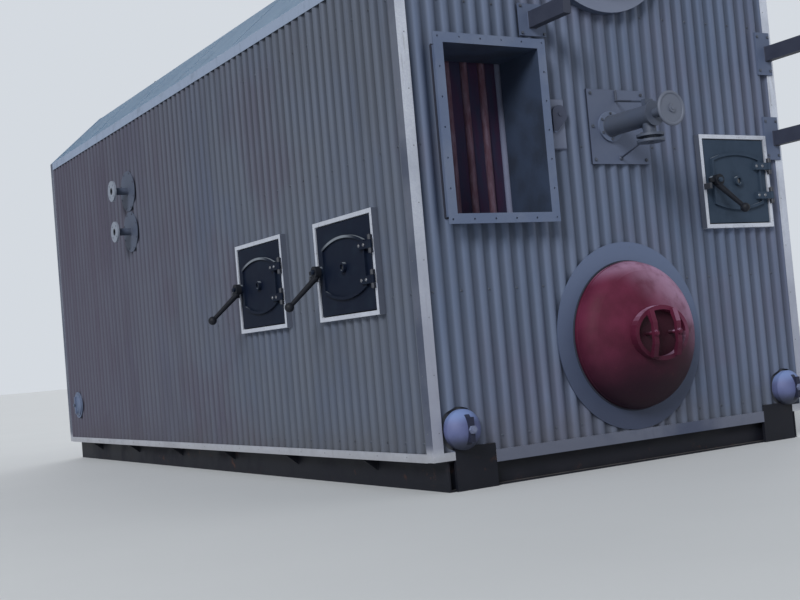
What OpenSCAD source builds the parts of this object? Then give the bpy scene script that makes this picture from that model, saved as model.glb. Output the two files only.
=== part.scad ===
// Packaged two-drum water-tube boiler, clad in corrugated sheet, on its steel skid.
// X runs across the front from left to right, Y from the front to the back, Z up.
// The origin lies on the ground, under the middle of the skid.

/* [Casing] */
// Width over the corner trims
casing_w = 3250; // [3100:10:3600]
// Length over the corner trims
casing_l = 7450; // [6900:10:8800]
// Height of the side walls above the casing's underside
eave_h = 3100; // [3050:10:3400]
// How far each roof slope runs inwards
roof_inset = 600; // [520:10:680]
// How far each roof slope rises
roof_rise = 530; // [460:10:600]
// Thickness of the insulated wall panels
wall_t = 130; // [100:5:150]
// Thickness of the insulated roof panels, measured upright
roof_t = 100; // [70:5:110]
// Thickness of the casing floor
floor_t = 60; // [40:5:90]
// Distance from the lower drum's ring to the seams of the front wall's panels
seam_out = 5; // [5:5:40]

/* [Cladding] */
// Distance from one ridge of the cladding to the next
wave_pitch = 105; // [90:1:125]
// Depth of the cladding's waves
wave_depth = 20; // [14:1:26]
// Thickness of the cladding sheet
sheet_t = 3; // [2:0.5:4]
// Width of each leg of the corner and roof trims
trim_leg = 75; // [60:1:85]
// Height of the trim along the foot of the walls
base_trim_h = 50; // [40:1:65]
// Thickness of the trims
trim_t = 3; // [2:0.5:4]
// Height of the trim along the foot of the end walls
end_trim_h = 30; // [20:1:45]
// How far that trim hangs below the casing
end_trim_drop = 45; // [30:1:60]
// Distance from the casing's side to the foot under a side header
foot_in = 155; // [140:5:165]
// Width of that foot
foot_w = 300; // [260:5:320]
// Height of that foot above the casing's underside
foot_rise = 70; // [50:1:74]

/* [Skid] */
// Height of the skid
skid_h = 190; // [150:5:240]
// Distance from the casing's side to the web of the runner
skid_inset = 110; // [90:5:130]
// Width of the runner's flanges
runner_w = 110; // [90:5:130]
// Thickness of the skid's steel
skid_t = 12; // [8:1:16]
// Width of a cross beam's flanges
beam_w = 80; // [60:5:100]
// Number of cross beams
beam_n = 7; // [5:2:9]
// Gussets along each side
gusset_n = 6; // [4:1:8]
// Distance from the front to the first gusset
gusset_y = 870; // [700:10:1000]
// Distance between gussets
gusset_pitch = 1160; // [900:10:1180]
// Height of a gusset
gusset_h = 85; // [60:5:110]

/* [Drums] */
// Outer radius of both drums
drum_r = 485; // [460:1:500]
// Height of the lower drum's axis above the casing's underside
low_drum_z = 650; // [630:5:700]
// Depth of the upper drum's axis below the top of the roof
up_drum_in = 220; // [190:5:250]
// Outer radius of the lower drum's wall ring
low_ring_r = 620; // [590:1:640]
// Outer radius of the upper drum's lagging and wall ring
up_ring_r = 610; // [590:1:620]
// Thickness of the lower drum's wall ring
ring_t = 8; // [5:1:12]
// Thickness of the upper drum's wall ring
up_ring_t = 60; // [8:1:80]
// Gap round a drum where it passes through a wall
drum_gap = 10; // [6:1:20]
// Length of straight shell outside the wall
shell_out = 30; // [20:1:60]
// Half width of a manhole opening
manhole_a = 200; // [180:1:210]
// Half height of a manhole opening
manhole_b = 150; // [140:1:160]
// Width of a manhole's rim
rim_w = 28; // [20:1:34]
// How far a manhole's rim stands out of the head
rim_out = 22; // [14:1:30]
// Depth of a manhole's cover behind its rim
cover_in = 46; // [36:1:60]
// Thickness of a manhole's cover
cover_t = 24; // [18:1:30]
// Radius of a manhole's studs
stud_r = 12; // [9:0.5:14]
// Distance between a manhole's studs
stud_pitch = 200; // [150:5:230]
// How far a stud stands out past its yoke or bar
stud_past = 16; // [12:1:20]
// Width of a yoke
yoke_w = 38; // [32:1:46]
// Height of a yoke over its rim
yoke_h = 46; // [40:1:56]
// Thickness of a yoke at its ends and in the middle
yoke_t = 22; // [18:1:28]

/* [Flue opening] */
// Distance from the left side to the middle of the opening
duct_in = 610; // [580:5:630]
// Height of the middle of the opening above the casing's underside
duct_z = 1985; // [1950:5:2030]
// Clear width of the opening
duct_w = 720; // [660:5:730]
// Clear height of the opening
duct_h = 1040; // [980:5:1120]
// Width of the bolting flange
duct_leg = 62; // [56:1:70]
// Thickness of the duct's plate
duct_t = 8; // [6:1:12]
// How far the flange stands off the wall
duct_out = 110; // [90:1:140]
// Depth of the duct behind the wall's face
duct_deep = 300; // [260:5:340]
// Spaces between the bolt holes along the bottom and the top
duct_n_x = 5; // [3:1:6]
// Spaces between the bolt holes along the sides
duct_n_z = 6; // [5:1:8]
// Radius of a bolt hole
duct_hole_r = 7; // [5:0.5:9]

/* [Tubes] */
// Outer radius of a boiler tube
tube_r = 25.5; // [20:0.5:28]
// Distance between tubes across the opening
tube_pitch = 140; // [130:1:145]
// Distance from the opening's right side to the last tube's axis
tube_past = 45; // [30:1:60]
// Number of tubes in a row
tube_n = 6; // [4:1:6]
// Distance between rows
row_pitch = 260; // [240:5:320]
// Outer radius of the pipes that the tubes end in
header_r = 70; // [60:1:80]
// Distance from the end of the duct to the first row's pipes
row_gap = 15; // [5:1:40]
// Height of the lower pipes above the lower drum's axis
row_low = 60; // [20:5:100]
// Height of the upper pipes below the upper drum's axis
row_high = 470; // [450:5:480]

/* [Doors] */
// Width of a side door over its frame
side_door_w = 800; // [740:5:820]
// Height of a side door over its frame
side_door_h = 670; // [640:5:700]
// Height of the side doors' middle above the casing's underside
side_door_z = 1250; // [1220:5:1300]
// Distance from the front to the middle of the first side door
first_door_y = 830; // [820:5:900]
// Distance between the side doors' middles
door_pitch = 1310; // [1290:5:1400]
// Width of the front door over its frame
front_door_w = 670; // [640:5:680]
// Height of the front door over its frame
front_door_h = 660; // [640:5:680]
// Distance from the right side to the middle of the front door
front_door_in = 525; // [520:5:560]
// Height of the front door's middle above the casing's underside
front_door_z = 1672; // [1650:2:1690]
// Thickness of a door's frame
bar_t = 28; // [24:1:32]
// How far a frame stands out past the trims
frame_out = 30; // [24:1:36]
// Gap between a door and its frame
leaf_gap = 8; // [7:1:12]
// Thickness of a door
leaf_t = 30; // [24:1:36]
// Thickness of the firebrick behind a door
brick_t = 60; // [40:1:70]
// Radius of a hinge's knuckle
knuckle_r = 14; // [12:1:16]
// Radius of a hinge pin
pin_r = 6; // [5:0.5:8]
// Distance from the frame's face to the hinge line
hinge_out = 20; // [20:1:24]
// Radius of the arched top and bottom of a door's raised panel
arch_r = 700; // [600:10:900]
// Height of the raised panel's rib
arch_t = 18; // [12:1:22]
// Width of the raised panel's rib
arch_rib = 20; // [14:1:28]
// Width of the raised panel as a share of its door
arch_share = 0.72; // [0.66:0.01:0.76]
// Distance from a leaf's upper and lower edges to the raised panel
arch_low = 90; // [70:1:100]
// Radius of the sight ring in a door's middle
sight_r = 34; // [28:1:40]
// Distance from a frame's upper and lower edges to its hinges
hinge_in = 225; // [200:5:240]
// Length of the leaf's part of a hinge
knuckle_l = 50; // [40:1:60]
// Length of each of the frame's parts of a hinge
lug_l = 30; // [24:1:36]
// Thickness of a hinge's lug
lug_t = 16; // [12:1:20]
// Length of a hinge strap
strap_l = 150; // [130:5:180]
// Thickness of a hinge strap
strap_t = 12; // [8:1:14]

/* [Door levers] */
// Distance from a frame's edge to the lever's spindle
hub_in = 95; // [85:1:105]
// Radius of the lever's hub
hub_r = 40; // [34:1:44]
// Thickness of the lever's hub
hub_t = 40; // [30:1:46]
// Radius of the spindle
spindle_r = 11; // [9:0.5:14]
// How far the lever's end stands out from the wall
lever_out = 300; // [250:5:330]
// How far the lever's end hangs below the spindle
lever_drop = 224; // [190:2:250]
// Radius of the knob at the lever's end
knob_r = 32; // [26:1:36]
// Radius of the lever's arm at the hub
arm_r1 = 21; // [17:1:24]
// Radius of the lever's arm at the knob
arm_r2 = 15; // [12:1:18]
// Distance from the spindle down to the start of the arm
arm_low = 34; // [32:1:38]
// Height of the boss that the hub turns on
boss_h = 36; // [32:1:42]
// Width of the tongue that holds the door shut
tongue_w = 26; // [20:1:32]
// Thickness of the tongue
tongue_t = 18; // [14:1:22]
// Height of the ledge that the tongue closes behind
ledge_h = 40; // [30:1:50]
// Gap between the tongue and the ledge below it
ledge_gap = 7; // [5:0.5:12]

/* [Soot blower] */
// Distance of the wall plate's middle from the casing's middle
plate_x = 50; // [30:1:70]
// Height of the blower's axis above the casing's underside
blower_z = 2040; // [2000:5:2080]
// Side of the square wall plate
plate_w = 500; // [460:5:520]
// Thickness of the wall plate
plate_t = 14; // [8:1:20]
// Distance of the blower's axis from the casing's middle
blower_x = -25; // [-40:1:0]
// Radius of the blower's barrel
barrel_r = 68; // [56:1:76]
// Length of the barrel in front of the plate
barrel_l = 430; // [380:5:480]
// Length of the neck between the barrel and the wheel
neck_l = 130; // [110:5:150]
// Radius of the steam inlet pipe
inlet_r = 42; // [34:1:48]
// Bore radius of the steam inlet
inlet_bore_r = 25; // [18:1:28]
// Distance from the blower's axis to the inlet's face
inlet_drop = 175; // [160:5:200]
// Radius of the hand wheel
wheel_r = 112; // [95:1:120]
// Radius of the rim's round bar
wheel_bar_r = 12; // [10:0.5:14]
// Width of the collar where the barrel meets its plate
collar_w = 34; // [26:1:42]
// Width of the steam inlet's flanges
inlet_flange_w = 46; // [34:1:50]
// Thickness of the blower's flanges
blower_flange_t = 16; // [12:1:18]
// Radius of the wheel's spindle
stem_r = 12; // [10:0.5:14]
// Distance across from the blower's axis to the trip rod's foot on the plate
trip_x = 68; // [50:1:90]
// Height of that foot above the blower's axis
trip_z = 176; // [160:1:190]
// Length of the trip rod's upturned end
trip_up = 68; // [40:1:80]
// Distance across from the blower's axis to the foot of the inlet's stay
stay_x = 75; // [20:1:100]
// Depth of the stay's foot below the blower's axis
stay_z = 210; // [190:1:225]

/* [Fittings] */
// Distance from the front to the gauge nozzles
gauge_y = 4960; // [4700:10:5200]
// Height of the lower gauge nozzle above the casing's underside
gauge_z = 2020; // [1990:5:2060]
// Distance between the gauge nozzles
gauge_pitch = 384; // [382:2:400]
// Radius of the round plate behind a gauge nozzle
rose_r = 190; // [170:1:190]
// Thickness of the round plate
rose_t = 6; // [4:1:10]
// Radius of a gauge nozzle's flange
gauge_flange_r = 97; // [85:1:105]
// Radius of the bolt circle of a gauge nozzle
gauge_bolt_r = 70; // [64:1:72]
// Radius of a bolt hole in that flange
gauge_hole_r = 9; // [7:0.5:10]
// Outer radius of a gauge nozzle's pipe
gauge_pipe_r = 34; // [30:1:38]
// How deep in the wall a gauge nozzle's bore ends
gauge_bore_in = 40; // [30:5:100]
// Bore radius of a gauge nozzle
gauge_bore_r = 20; // [14:1:24]
// How far a gauge nozzle stands out past the trims
gauge_out = 160; // [130:5:190]
// Distance from the front to the side handholes
handhole_y = 7050; // [6900:10:7090]
// Height of the side handholes above the casing's underside
handhole_z = 400; // [380:5:440]
// Radius of a side handhole
handhole_r = 140; // [120:1:155]
// Distance from the casing's side to the axis of a side header
cap_in = 208; // [204:1:216]
// Height of a side header's axis above the casing's underside
cap_z = 178; // [176:1:190]
// Radius of a side header's cap
cap_r = 122; // [112:1:124]
// Distance from the left side to the pivot of the peephole's cover
peep_in = 1177; // [1165:1:1190]
// Height of that pivot above the casing's underside
peep_z = 2111; // [2100:1:2125]
// Radius of the cover's round end, about the pivot
peep_r = 60; // [56:1:64]
// Turn of the cover's tip to the left of straight down, in degrees
peep_turn = 23; // [15:1:30]
// Distance between the pivot and the peephole
peep_arm = 62; // [58:1:66]
// Outer radius of the peephole's tube
peep_tube_r = 30; // [26:1:32]
// Distance between the pivot and the middle of the cover's tip
peep_tip = 116; // [110:1:122]
// Radius of the cover's tip
peep_tip_r = 14; // [12:1:18]
// Distance from the left side to the left platform bracket
left_arm_in = 1030; // [1010:5:1060]
// Height of the left platform bracket above the casing's underside
left_arm_z = 2720; // [2700:5:2760]
// Length of the left platform bracket
left_arm_l = 350; // [300:10:450]
// Distance from the right side to the right platform brackets
right_arm_in = 57; // [45:1:60]
// Height of the lower right bracket above the casing's underside
right_arm_low = 1990; // [1960:5:2020]
// Distance between the right brackets
right_arm_pitch = 625; // [600:5:660]
// Length of the right platform brackets
right_arm_l = 500; // [400:10:600]
// Width of a bracket's beam
arm_w = 60; // [50:5:70]
// Height of a bracket's beam
arm_h = 105; // [90:5:120]
// Width of a right bracket's plate
right_plate_w = 145; // [130:5:150]
// Thickness of a bracket's plate
bracket_t = 12; // [8:1:16]
// Distance from the front to the steam outlet
steam_y = 2900; // [2600:10:3200]
// Bore radius of the steam outlet
steam_bore_r = 75; // [60:1:80]
// Bore radius of a safety valve nozzle
safety_bore_r = 40; // [32:1:44]
// Distance between the top nozzles
nozzle_pitch = 900; // [700:10:1100]
// Height of the top nozzles above the lagging
nozzle_h = 170; // [150:5:220]
// Thickness of a top nozzle's flange
nozzle_flange_t = 22; // [18:1:28]
// Depth of a top nozzle's bore
nozzle_deep = 215; // [180:5:230]
// Distance from a top flange's edge to its bolt circle
nozzle_edge = 22; // [18:1:24]
// Radius of a bolt hole in a top flange
nozzle_hole_r = 9; // [7:0.5:11]
// Distance from the middle to the lifting lugs, along the casing
lug_y = 2400; // [2000:10:2800]
// Radius of a lifting lug's rounded top
lift_r = 60; // [52:1:70]
// Height of a lifting lug's hole above the roof
lift_h = 80; // [75:1:100]
// Radius of a lifting lug's hole
lift_hole_r = 32; // [26:1:36]
// Thickness of a lifting lug
lift_t = 24; // [20:1:30]

/* [Hidden] */
$fn = 48;

// Clearance of a pin or spindle in its bore
pin_gap = 0.3;
// Gap at each end of a hinge's knuckle
hinge_play = 2;
// Gap at each end of a lever's hub
hub_play = 1;
// How far a hinge pin stands out of its lugs
pin_out = 4;
// Gap between a curved face and the piece it sits on
seat_gap = 0.3;
// Gap between a trim and the ring that it ends at
trim_gap = 2;
// How far a cut runs past the face it opens
past = 5;

half_w = casing_w / 2;
half_l = casing_l / 2;
clad = trim_t + wave_depth + sheet_t;
ridge_x = half_w - trim_t;
ridge_y = half_l - trim_t;
core_x = half_w - clad;
core_y = half_l - clad;
in_x = core_x - wall_t;
in_y = core_y - wall_t;
base_z = skid_h;
eave_z = base_z + eave_h;
top_z = eave_z + roof_rise;
deck_x = half_w - roof_inset;
slope = (ridge_x - deck_x) / roof_rise;
low_z = base_z + low_drum_z;
up_z = top_z - up_drum_in;
hole_r = drum_r + drum_gap;

// Mirrored copy beside the original
module both_sides() { children(); mirror([1, 0, 0]) children(); }
module both_ends() { children(); mirror([0, 1, 0]) children(); }
// A block between two corners
module block(low, high) { translate(low) cube(high - low); }
// A cylinder that runs from the point p towards the front
module forward(p, r, l) { translate(p) rotate([90, 0, 0]) cylinder(r = r, h = l); }
// A flat outline in X and Z, set at y and thickened towards the back
module upright(y, t) { translate([0, y + t, 0]) rotate([90, 0, 0]) linear_extrude(t) children(); }

/* Skid: two channel runners joined by cross beams, with gussets under the casing's sides. */

module channel(h, w, l) {
    // Web at x = 0, flanges towards +X, running along Y
    block([0, -l / 2, 0], [skid_t, l / 2, h]);
    block([0, -l / 2, 0], [w, l / 2, skid_t]);
    block([0, -l / 2, h - skid_t], [w, l / 2, h]);
}

module gusset(y) {
    top = skid_h - trim_t;
    translate([0, y + skid_t / 2, 0]) rotate([90, 0, 0]) linear_extrude(skid_t)
        polygon([[-half_w + skid_inset, top], [-half_w + trim_t, top],
            [-half_w + skid_inset, top - gusset_h]]);
}

module cross_beam(y) {
    // The web runs to the runners' webs, the flanges stop at the runners' flanges
    reach = half_w - skid_inset - skid_t;
    tip = half_w - skid_inset - runner_w;
    block([-reach, y - skid_t / 2, skid_t], [reach, y + skid_t / 2, skid_h - skid_t]);
    for (z = [0, skid_h - skid_t])
        block([-tip, y - beam_w / 2, z], [tip, y + beam_w / 2, z + skid_t]);
}

module skid_runners() {
    color([0.09, 0.09, 0.10]) both_sides() {
        translate([-half_w + skid_inset, 0, 0]) channel(skid_h, runner_w, 2 * core_y);
        for (i = [0 : gusset_n - 1]) gusset(-half_l + gusset_y + i * gusset_pitch);
    }
}

module skid_beams() {
    end_y = core_y - beam_w / 2;
    color([0.09, 0.09, 0.10])
        for (i = [0 : beam_n - 1]) cross_beam(-end_y + i * 2 * end_y / (beam_n - 1));
}

module casing_floor() {
    color([0.35, 0.36, 0.38]) block([-in_x, -in_y, base_z], [in_x, in_y, base_z + floor_t]);
}

/* Walls: insulated panels whose ends rise as gables under the roof. */

// Height of the roof panels' underside at the distance x from the middle
function under_z(x) = min(top_z - roof_t, eave_z - roof_t + (ridge_x - abs(x)) / slope);
rest_x = ridge_x - roof_t * slope;
// Outline of an end wall between two distances from the middle
function gable(a, b) = concat([[a, base_z], [b, base_z]],
    b > rest_x ? [[b, eave_z], [rest_x, eave_z]] : [[b, under_z(b)]],
    (b > deck_x && a < deck_x) ? [[deck_x, top_z - roof_t]] : [],
    (a < -deck_x && b > -deck_x) ? [[-deck_x, top_z - roof_t]] : [],
    a < -rest_x ? [[-rest_x, eave_z], [a, eave_z]] : [[a, under_z(a)]]);

module end_panel(a, b) { upright(-core_y, wall_t) polygon(gable(a, b)); }

split_x = low_ring_r + seam_out;
duct_x = -half_w + duct_in;
duct_ax = duct_w / 2 + duct_t;
duct_az = duct_h / 2 + duct_t;
cap_x = half_w - cap_in;
header_pipe_r = cap_r - 12;
front_door_x = half_w - front_door_in;

module duct_hole() {
    block([duct_x - duct_ax, -half_l - duct_out, base_z + duct_z - duct_az],
        [duct_x + duct_ax, -in_y + past, base_z + duct_z + duct_az]);
}

module header_hole() {
    translate([-cap_x, -in_y + past, base_z + cap_z]) rotate([90, 0, 0])
        cylinder(r = header_pipe_r, h = 2 * wall_t);
}

// A panel of the front wall, with everything cut that passes through it
module front_panel(a, b) {
    color([0.42, 0.44, 0.47]) difference() {
        end_panel(a, b);
        duct_hole();
        drum_holes();
        both_sides() header_hole();
        at_front_door() door_hole(front_door_w, front_door_h);
    }
}

module front_wall_left() { front_panel(-core_x, -split_x); }
module front_wall_centre() { front_panel(-split_x, split_x); }
module front_wall_right() { front_panel(split_x, core_x); }

module drum_holes() {
    for (z = [low_z, up_z]) forward([0, -in_y + past, z], hole_r, 2 * wall_t);
}

module back_wall() {
    color([0.42, 0.44, 0.47]) mirror([0, 1, 0]) difference() {
        end_panel(-core_x, core_x);
        drum_holes();
        both_sides() header_hole();
    }
}

door_low = base_z + side_door_z - side_door_h / 2;
door_high = base_z + side_door_z + side_door_h / 2;
door_1_y = -half_l + first_door_y;
door_2_y = door_1_y + door_pitch;

module left_wall_bands() {
    color([0.42, 0.44, 0.47]) {
        block([-core_x, -in_y, base_z], [-in_x, in_y, door_low]);
        block([-core_x, -in_y, door_high], [-in_x, in_y, eave_z]);
    }
}

module left_wall_piers() {
    half = side_door_w / 2;
    ends = [-in_y, door_1_y - half, door_1_y + half, door_2_y - half, door_2_y + half, in_y];
    color([0.42, 0.44, 0.47]) for (i = [0, 2, 4])
        block([-core_x, ends[i], door_low], [-in_x, ends[i + 1], door_high]);
}

module right_wall() {
    color([0.42, 0.44, 0.47]) block([in_x, -in_y, base_z], [core_x, in_y, eave_z]);
}

/* Roof: a slope along each side, a flat deck and the lagging of the upper drum above it. */

module along(l) { translate([0, l / 2, 0]) rotate([90, 0, 0]) linear_extrude(l) children(); }

module roof_slopes() {
    color([0.68, 0.72, 0.78]) both_sides() along(2 * core_y)
        polygon([[ridge_x, eave_z], [deck_x, top_z], [deck_x, top_z - roof_t], [rest_x, eave_z]]);
}

deck_in = sqrt(pow(up_ring_r, 2) - pow(top_z - roof_t - up_z, 2)) + seat_gap;

module roof_deck() {
    color([0.62, 0.66, 0.72]) both_sides()
        block([deck_in, -core_y, top_z - roof_t], [deck_x, core_y, top_z]);
}

module drum_lagging() {
    cut = top_z - roof_t;
    $fn = 144;
    color([0.66, 0.70, 0.76]) difference() {
        forward([0, ridge_y, up_z], up_ring_r, 2 * ridge_y);
        forward([0, half_l, up_z], hole_r, 2 * half_l);
        block([-up_ring_r - past, -half_l, up_z - up_ring_r - past],
            [up_ring_r + past, half_l, cut]);
        nozzle_places() cylinder(r = nozzle_r + drum_gap, h = up_ring_r + past);
    }
}

/* Cladding: sheets of upright waves, cut round what passes through them. */

// Depth of the wave at the k-th of six points along it
function wave(k) = wave_depth * (0.5 - 0.5 * cos(60 * k + 30) / cos(30));
// Outline of a corrugated sheet, seen from above, with its valleys towards +Y
function wave_line(span, shift) = let (n = round(span / wave_pitch), step = span / n / 6)
    concat([[-span / 2, -shift]],
        [for (k = [0 : 6 * n - 1]) [-span / 2 + (k + 0.5) * step, -shift - wave(k)]],
        [[span / 2, -shift]]);
function flip(points) = [for (i = [len(points) - 1 : -1 : 0]) points[i]];

module sheet(span, high) {
    translate([0, 0, base_z]) linear_extrude(high - base_z)
        polygon(concat(wave_line(span, sheet_t), flip(wave_line(span, 0))));
}

// What lies above the roof's upper face at one end
module above_roof(y) {
    low = eave_z - (trim_t + past) / slope;
    upright(y - past, clad + 2 * past) polygon([[half_w + past, low], [deck_x, top_z],
        [-deck_x, top_z], [-half_w - past, low], [-half_w - past, top_z + past],
        [half_w + past, top_z + past]]);
}

// Room for the lagging where it passes over the end wall
module lagging_end() {
    intersection() {
        forward([0, -core_y + past, up_z], up_ring_r + seat_gap, clad + 2 * past);
        block([-half_w, -half_l - 2 * past, top_z - roof_t - seat_gap], [half_w, -in_y, top_z + past]);
    }
}

module end_sheet() {
    difference() {
        translate([0, -core_y, 0]) sheet(2 * ridge_x, top_z);
        above_roof(-half_l);
        drum_holes();
        forward([0, -core_y + past, up_z], up_ring_r - 40, clad + 2 * past);
        lagging_end();
        both_sides() forward([-cap_x, -core_y + past, base_z + cap_z], cap_r + 14, clad + 2 * past);
        both_sides() foot_hole();
    }
}

module front_cladding() {
    color([0.45, 0.49, 0.56]) difference() {
        end_sheet();
        duct_hole();
        at_front_door() door_hole(front_door_w, front_door_h);
        forward([peep_hole[0], -core_y + past, peep_hole[1]], peep_tube_r + seat_gap, 2 * clad);
    }
}

module back_cladding() { color([0.42, 0.46, 0.52]) mirror([0, 1, 0]) end_sheet(); }

module side_sheet() {
    translate([-core_x, 0, 0]) rotate([0, 0, -90]) sheet(2 * core_y, eave_z);
}

module left_cladding() {
    color([0.40, 0.44, 0.49]) difference() {
        side_sheet();
        at_left_door(door_1_y) door_hole(side_door_w, side_door_h);
        at_left_door(door_2_y) door_hole(side_door_w, side_door_h);
        gauge_places() cylinder(r = rose_r * 0.4, h = 2 * clad);
    }
}

module right_cladding() {
    color([0.40, 0.44, 0.49]) mirror([1, 0, 0]) difference() {
        side_sheet();
        at_left_door(door_1_y) door_hole(side_door_w, side_door_h);
        at_left_door(door_2_y) door_hole(side_door_w, side_door_h);
    }
}

/* Trims: bright angles along the corners, the foot of the walls and the roof's edges. */

foot_x = -half_w + foot_in;
foot_top = base_z + foot_rise;

module foot_hole() {
    block([foot_x, -half_l - past, 0], [foot_x + foot_w, -core_y + past, foot_top]);
}

module corner_angle() {
    block([-half_w, -half_l, base_z], [-half_w + trim_leg, -ridge_y, eave_z]);
    block([-half_w, -half_l, base_z], [-ridge_x, -half_l + trim_leg, eave_z]);
}

module side_foot_angle() {
    end = half_l - trim_leg;
    block([-half_w, -end, base_z], [-ridge_x, end, base_z + base_trim_h]);
    block([-half_w, -end, base_z - trim_t], [-half_w + skid_inset, end, base_z]);
}

module end_foot_angle() {
    side = -half_w + trim_leg;
    mid = foot_x + foot_w;
    block([side, -half_l, base_z], [foot_x, -ridge_y, base_z + base_trim_h]);
    block([mid, -half_l, base_z - end_trim_drop], [-mid, -ridge_y, base_z + end_trim_h]);
}

module wall_trims() {
    color([0.76, 0.78, 0.82]) {
        both_ends() both_sides() corner_angle();
        both_sides() side_foot_angle();
        both_ends() difference() {
            union() { end_foot_angle(); mirror([1, 0, 0]) end_foot_angle(); }
            forward([0, -core_y, low_z], low_ring_r + trim_gap, 2 * clad);
        }
    }
}

// The roof's outline from its outer corner to the drum's ring, d outside its surface
slope_out = [1, slope] / norm([1, slope]);
slope_mitre = (slope_out + [0, 1]) / (1 + slope_out[1]);
function roof_z(x, d) = eave_z + (ridge_x - x) / slope + d / slope_out[1];
function roof_line(d) = [[deck_x, top_z] + slope_mitre * d, [up_ring_r + trim_gap, top_z + d]];

module roof_trims() {
    outer = concat([[half_w, roof_z(half_w, trim_t + seat_gap)]], roof_line(trim_t + seat_gap));
    inner = [roof_line(-trim_leg)[1], roof_line(-trim_leg)[0],
        [ridge_x - slope * trim_leg / slope_out[1], eave_z]];
    seat = [roof_line(seat_gap)[1], roof_line(seat_gap)[0], [ridge_x, roof_z(ridge_x, seat_gap)]];
    lip = [ridge_x, eave_z] + [-slope_out[1], slope_out[0]] * trim_leg;
    color([0.76, 0.78, 0.82]) both_sides() {
        both_ends() {
            upright(-half_l, trim_t) polygon(concat([[half_w, eave_z]], outer, inner));
            upright(-half_l, trim_leg) polygon(concat([[half_w, eave_z]], outer, seat, [[ridge_x, eave_z]]));
        }
        along(2 * (half_l - trim_leg)) polygon([[half_w, eave_z - trim_leg], outer[0],
            lip + slope_out * (trim_t + seat_gap), lip + slope_out * seat_gap, seat[2],
            [ridge_x, eave_z - trim_leg]]);
    }
}

module header_feet() {
    color([0.08, 0.08, 0.09]) both_ends() both_sides() difference() {
        block([foot_x, -ridge_y, 0], [foot_x + foot_w, -core_y, foot_top]);
        forward([-cap_x, -core_y + past, base_z + cap_z], header_pipe_r + seat_gap, clad + 2 * past);
    }
}

/* Drums: plain shells with dished heads, each head with an oval manhole. */

// A standard dished head: a crown of 0.8 diameters and a knuckle of 0.154 diameters
crown_r = 0.8 * 2 * drum_r;
knuckle = 0.154 * 2 * drum_r;
head_h = crown_r - sqrt(pow(crown_r - knuckle, 2) - pow(drum_r - knuckle, 2));

module head_half() {
    c = [0, head_h - crown_r];
    k = [drum_r - knuckle, 0];
    d = (k - c) / norm(k - c);
    intersection() {
        union() {
            intersection() {
                translate(c) circle(r = crown_r, $fn = 96);
                polygon([c, c + d * 2 * crown_r, c + [0, 2 * crown_r]]);
            }
            translate(k) circle(r = knuckle);
            translate([0, -past]) square([drum_r, past]);
        }
        translate([0, -past]) square([drum_r, head_h + 2 * past]);
    }
}

function oval(a, b) = [for (i = [0 : 35]) [a * cos(10 * i), b * sin(10 * i)]];
head_y = -half_l - shell_out;
rim_y = head_y - head_h - rim_out;

module drum(z) {
    difference() {
        union() {
            forward([0, -head_y, z], drum_r, -2 * head_y);
            both_ends() translate([0, head_y, z]) rotate([90, 0, 0]) rotate_extrude($fn = 96) head_half();
            both_ends() upright(rim_y, head_h / 2) translate([0, z])
                polygon(oval(manhole_a + rim_w, manhole_b + rim_w));
        }
        both_ends() upright(rim_y - past, cover_in + past + cover_t) translate([0, z])
            polygon(oval(manhole_a, manhole_b));
    }
}

module lower_drum() { color([0.55, 0.12, 0.15]) drum(low_z); }
module upper_drum() { color([0.55, 0.12, 0.15]) drum(up_z); }

module manhole_covers() {
    color([0.52, 0.12, 0.15]) both_ends() for (z = [low_z, up_z]) {
        upright(rim_y + cover_in, cover_t) translate([0, z])
            polygon(oval(manhole_a - seat_gap, manhole_b - seat_gap));
        for (s = [-1, 1])
            forward([s * stud_pitch / 2, rim_y + cover_in, z], stud_r,
                cover_in + yoke_h + stud_past);
    }
}

// A bridge across the rim, at x from the manhole's middle, for the stud that pulls the cover shut
module yoke(x, z) {
    reach = manhole_b * sqrt(1 - pow(x / manhole_a, 2)) + rim_w * 0.8;
    foot = rim_y - yoke_t;
    back = rim_y - yoke_h;
    difference() {
        translate([x - yoke_w / 2, 0, z]) rotate([90, 0, 90]) linear_extrude(yoke_w) polygon([
            [rim_y, -reach], [foot, -reach], [back, -reach * 0.45], [back, reach * 0.45],
            [foot, reach], [rim_y, reach], [rim_y, reach * 0.78], [back + yoke_t, reach * 0.4],
            [back + yoke_t, -reach * 0.4], [rim_y, -reach * 0.78]]);
        forward([x, rim_y, z], stud_r + seat_gap, yoke_h + past);
    }
}

module manhole_yokes() {
    color([0.50, 0.11, 0.14]) both_ends() for (z = [low_z, up_z], s = [-1, 1])
        yoke(s * stud_pitch / 2, z);
}

module wall_ring(z, r, t) {
    difference() {
        forward([0, -ridge_y, z], r, t);
        forward([0, -ridge_y + past, z], drum_r + seat_gap, t + 2 * past);
    }
}

module drum_rings() {
    color([0.50, 0.54, 0.60]) both_ends() {
        wall_ring(low_z, low_ring_r, ring_t);
        wall_ring(up_z, up_ring_r, up_ring_t);
    }
}

/* Side headers: pipes through the end walls, each closed by a domed cap with a clamp. */

cap_skirt = 34;
cap_rise = 76;
clamp_w = 36;
clamp_l = 148;
clamp_t = 26;
clamp_bolt_r = 15;
clamp_nut_r = 26;

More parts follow.
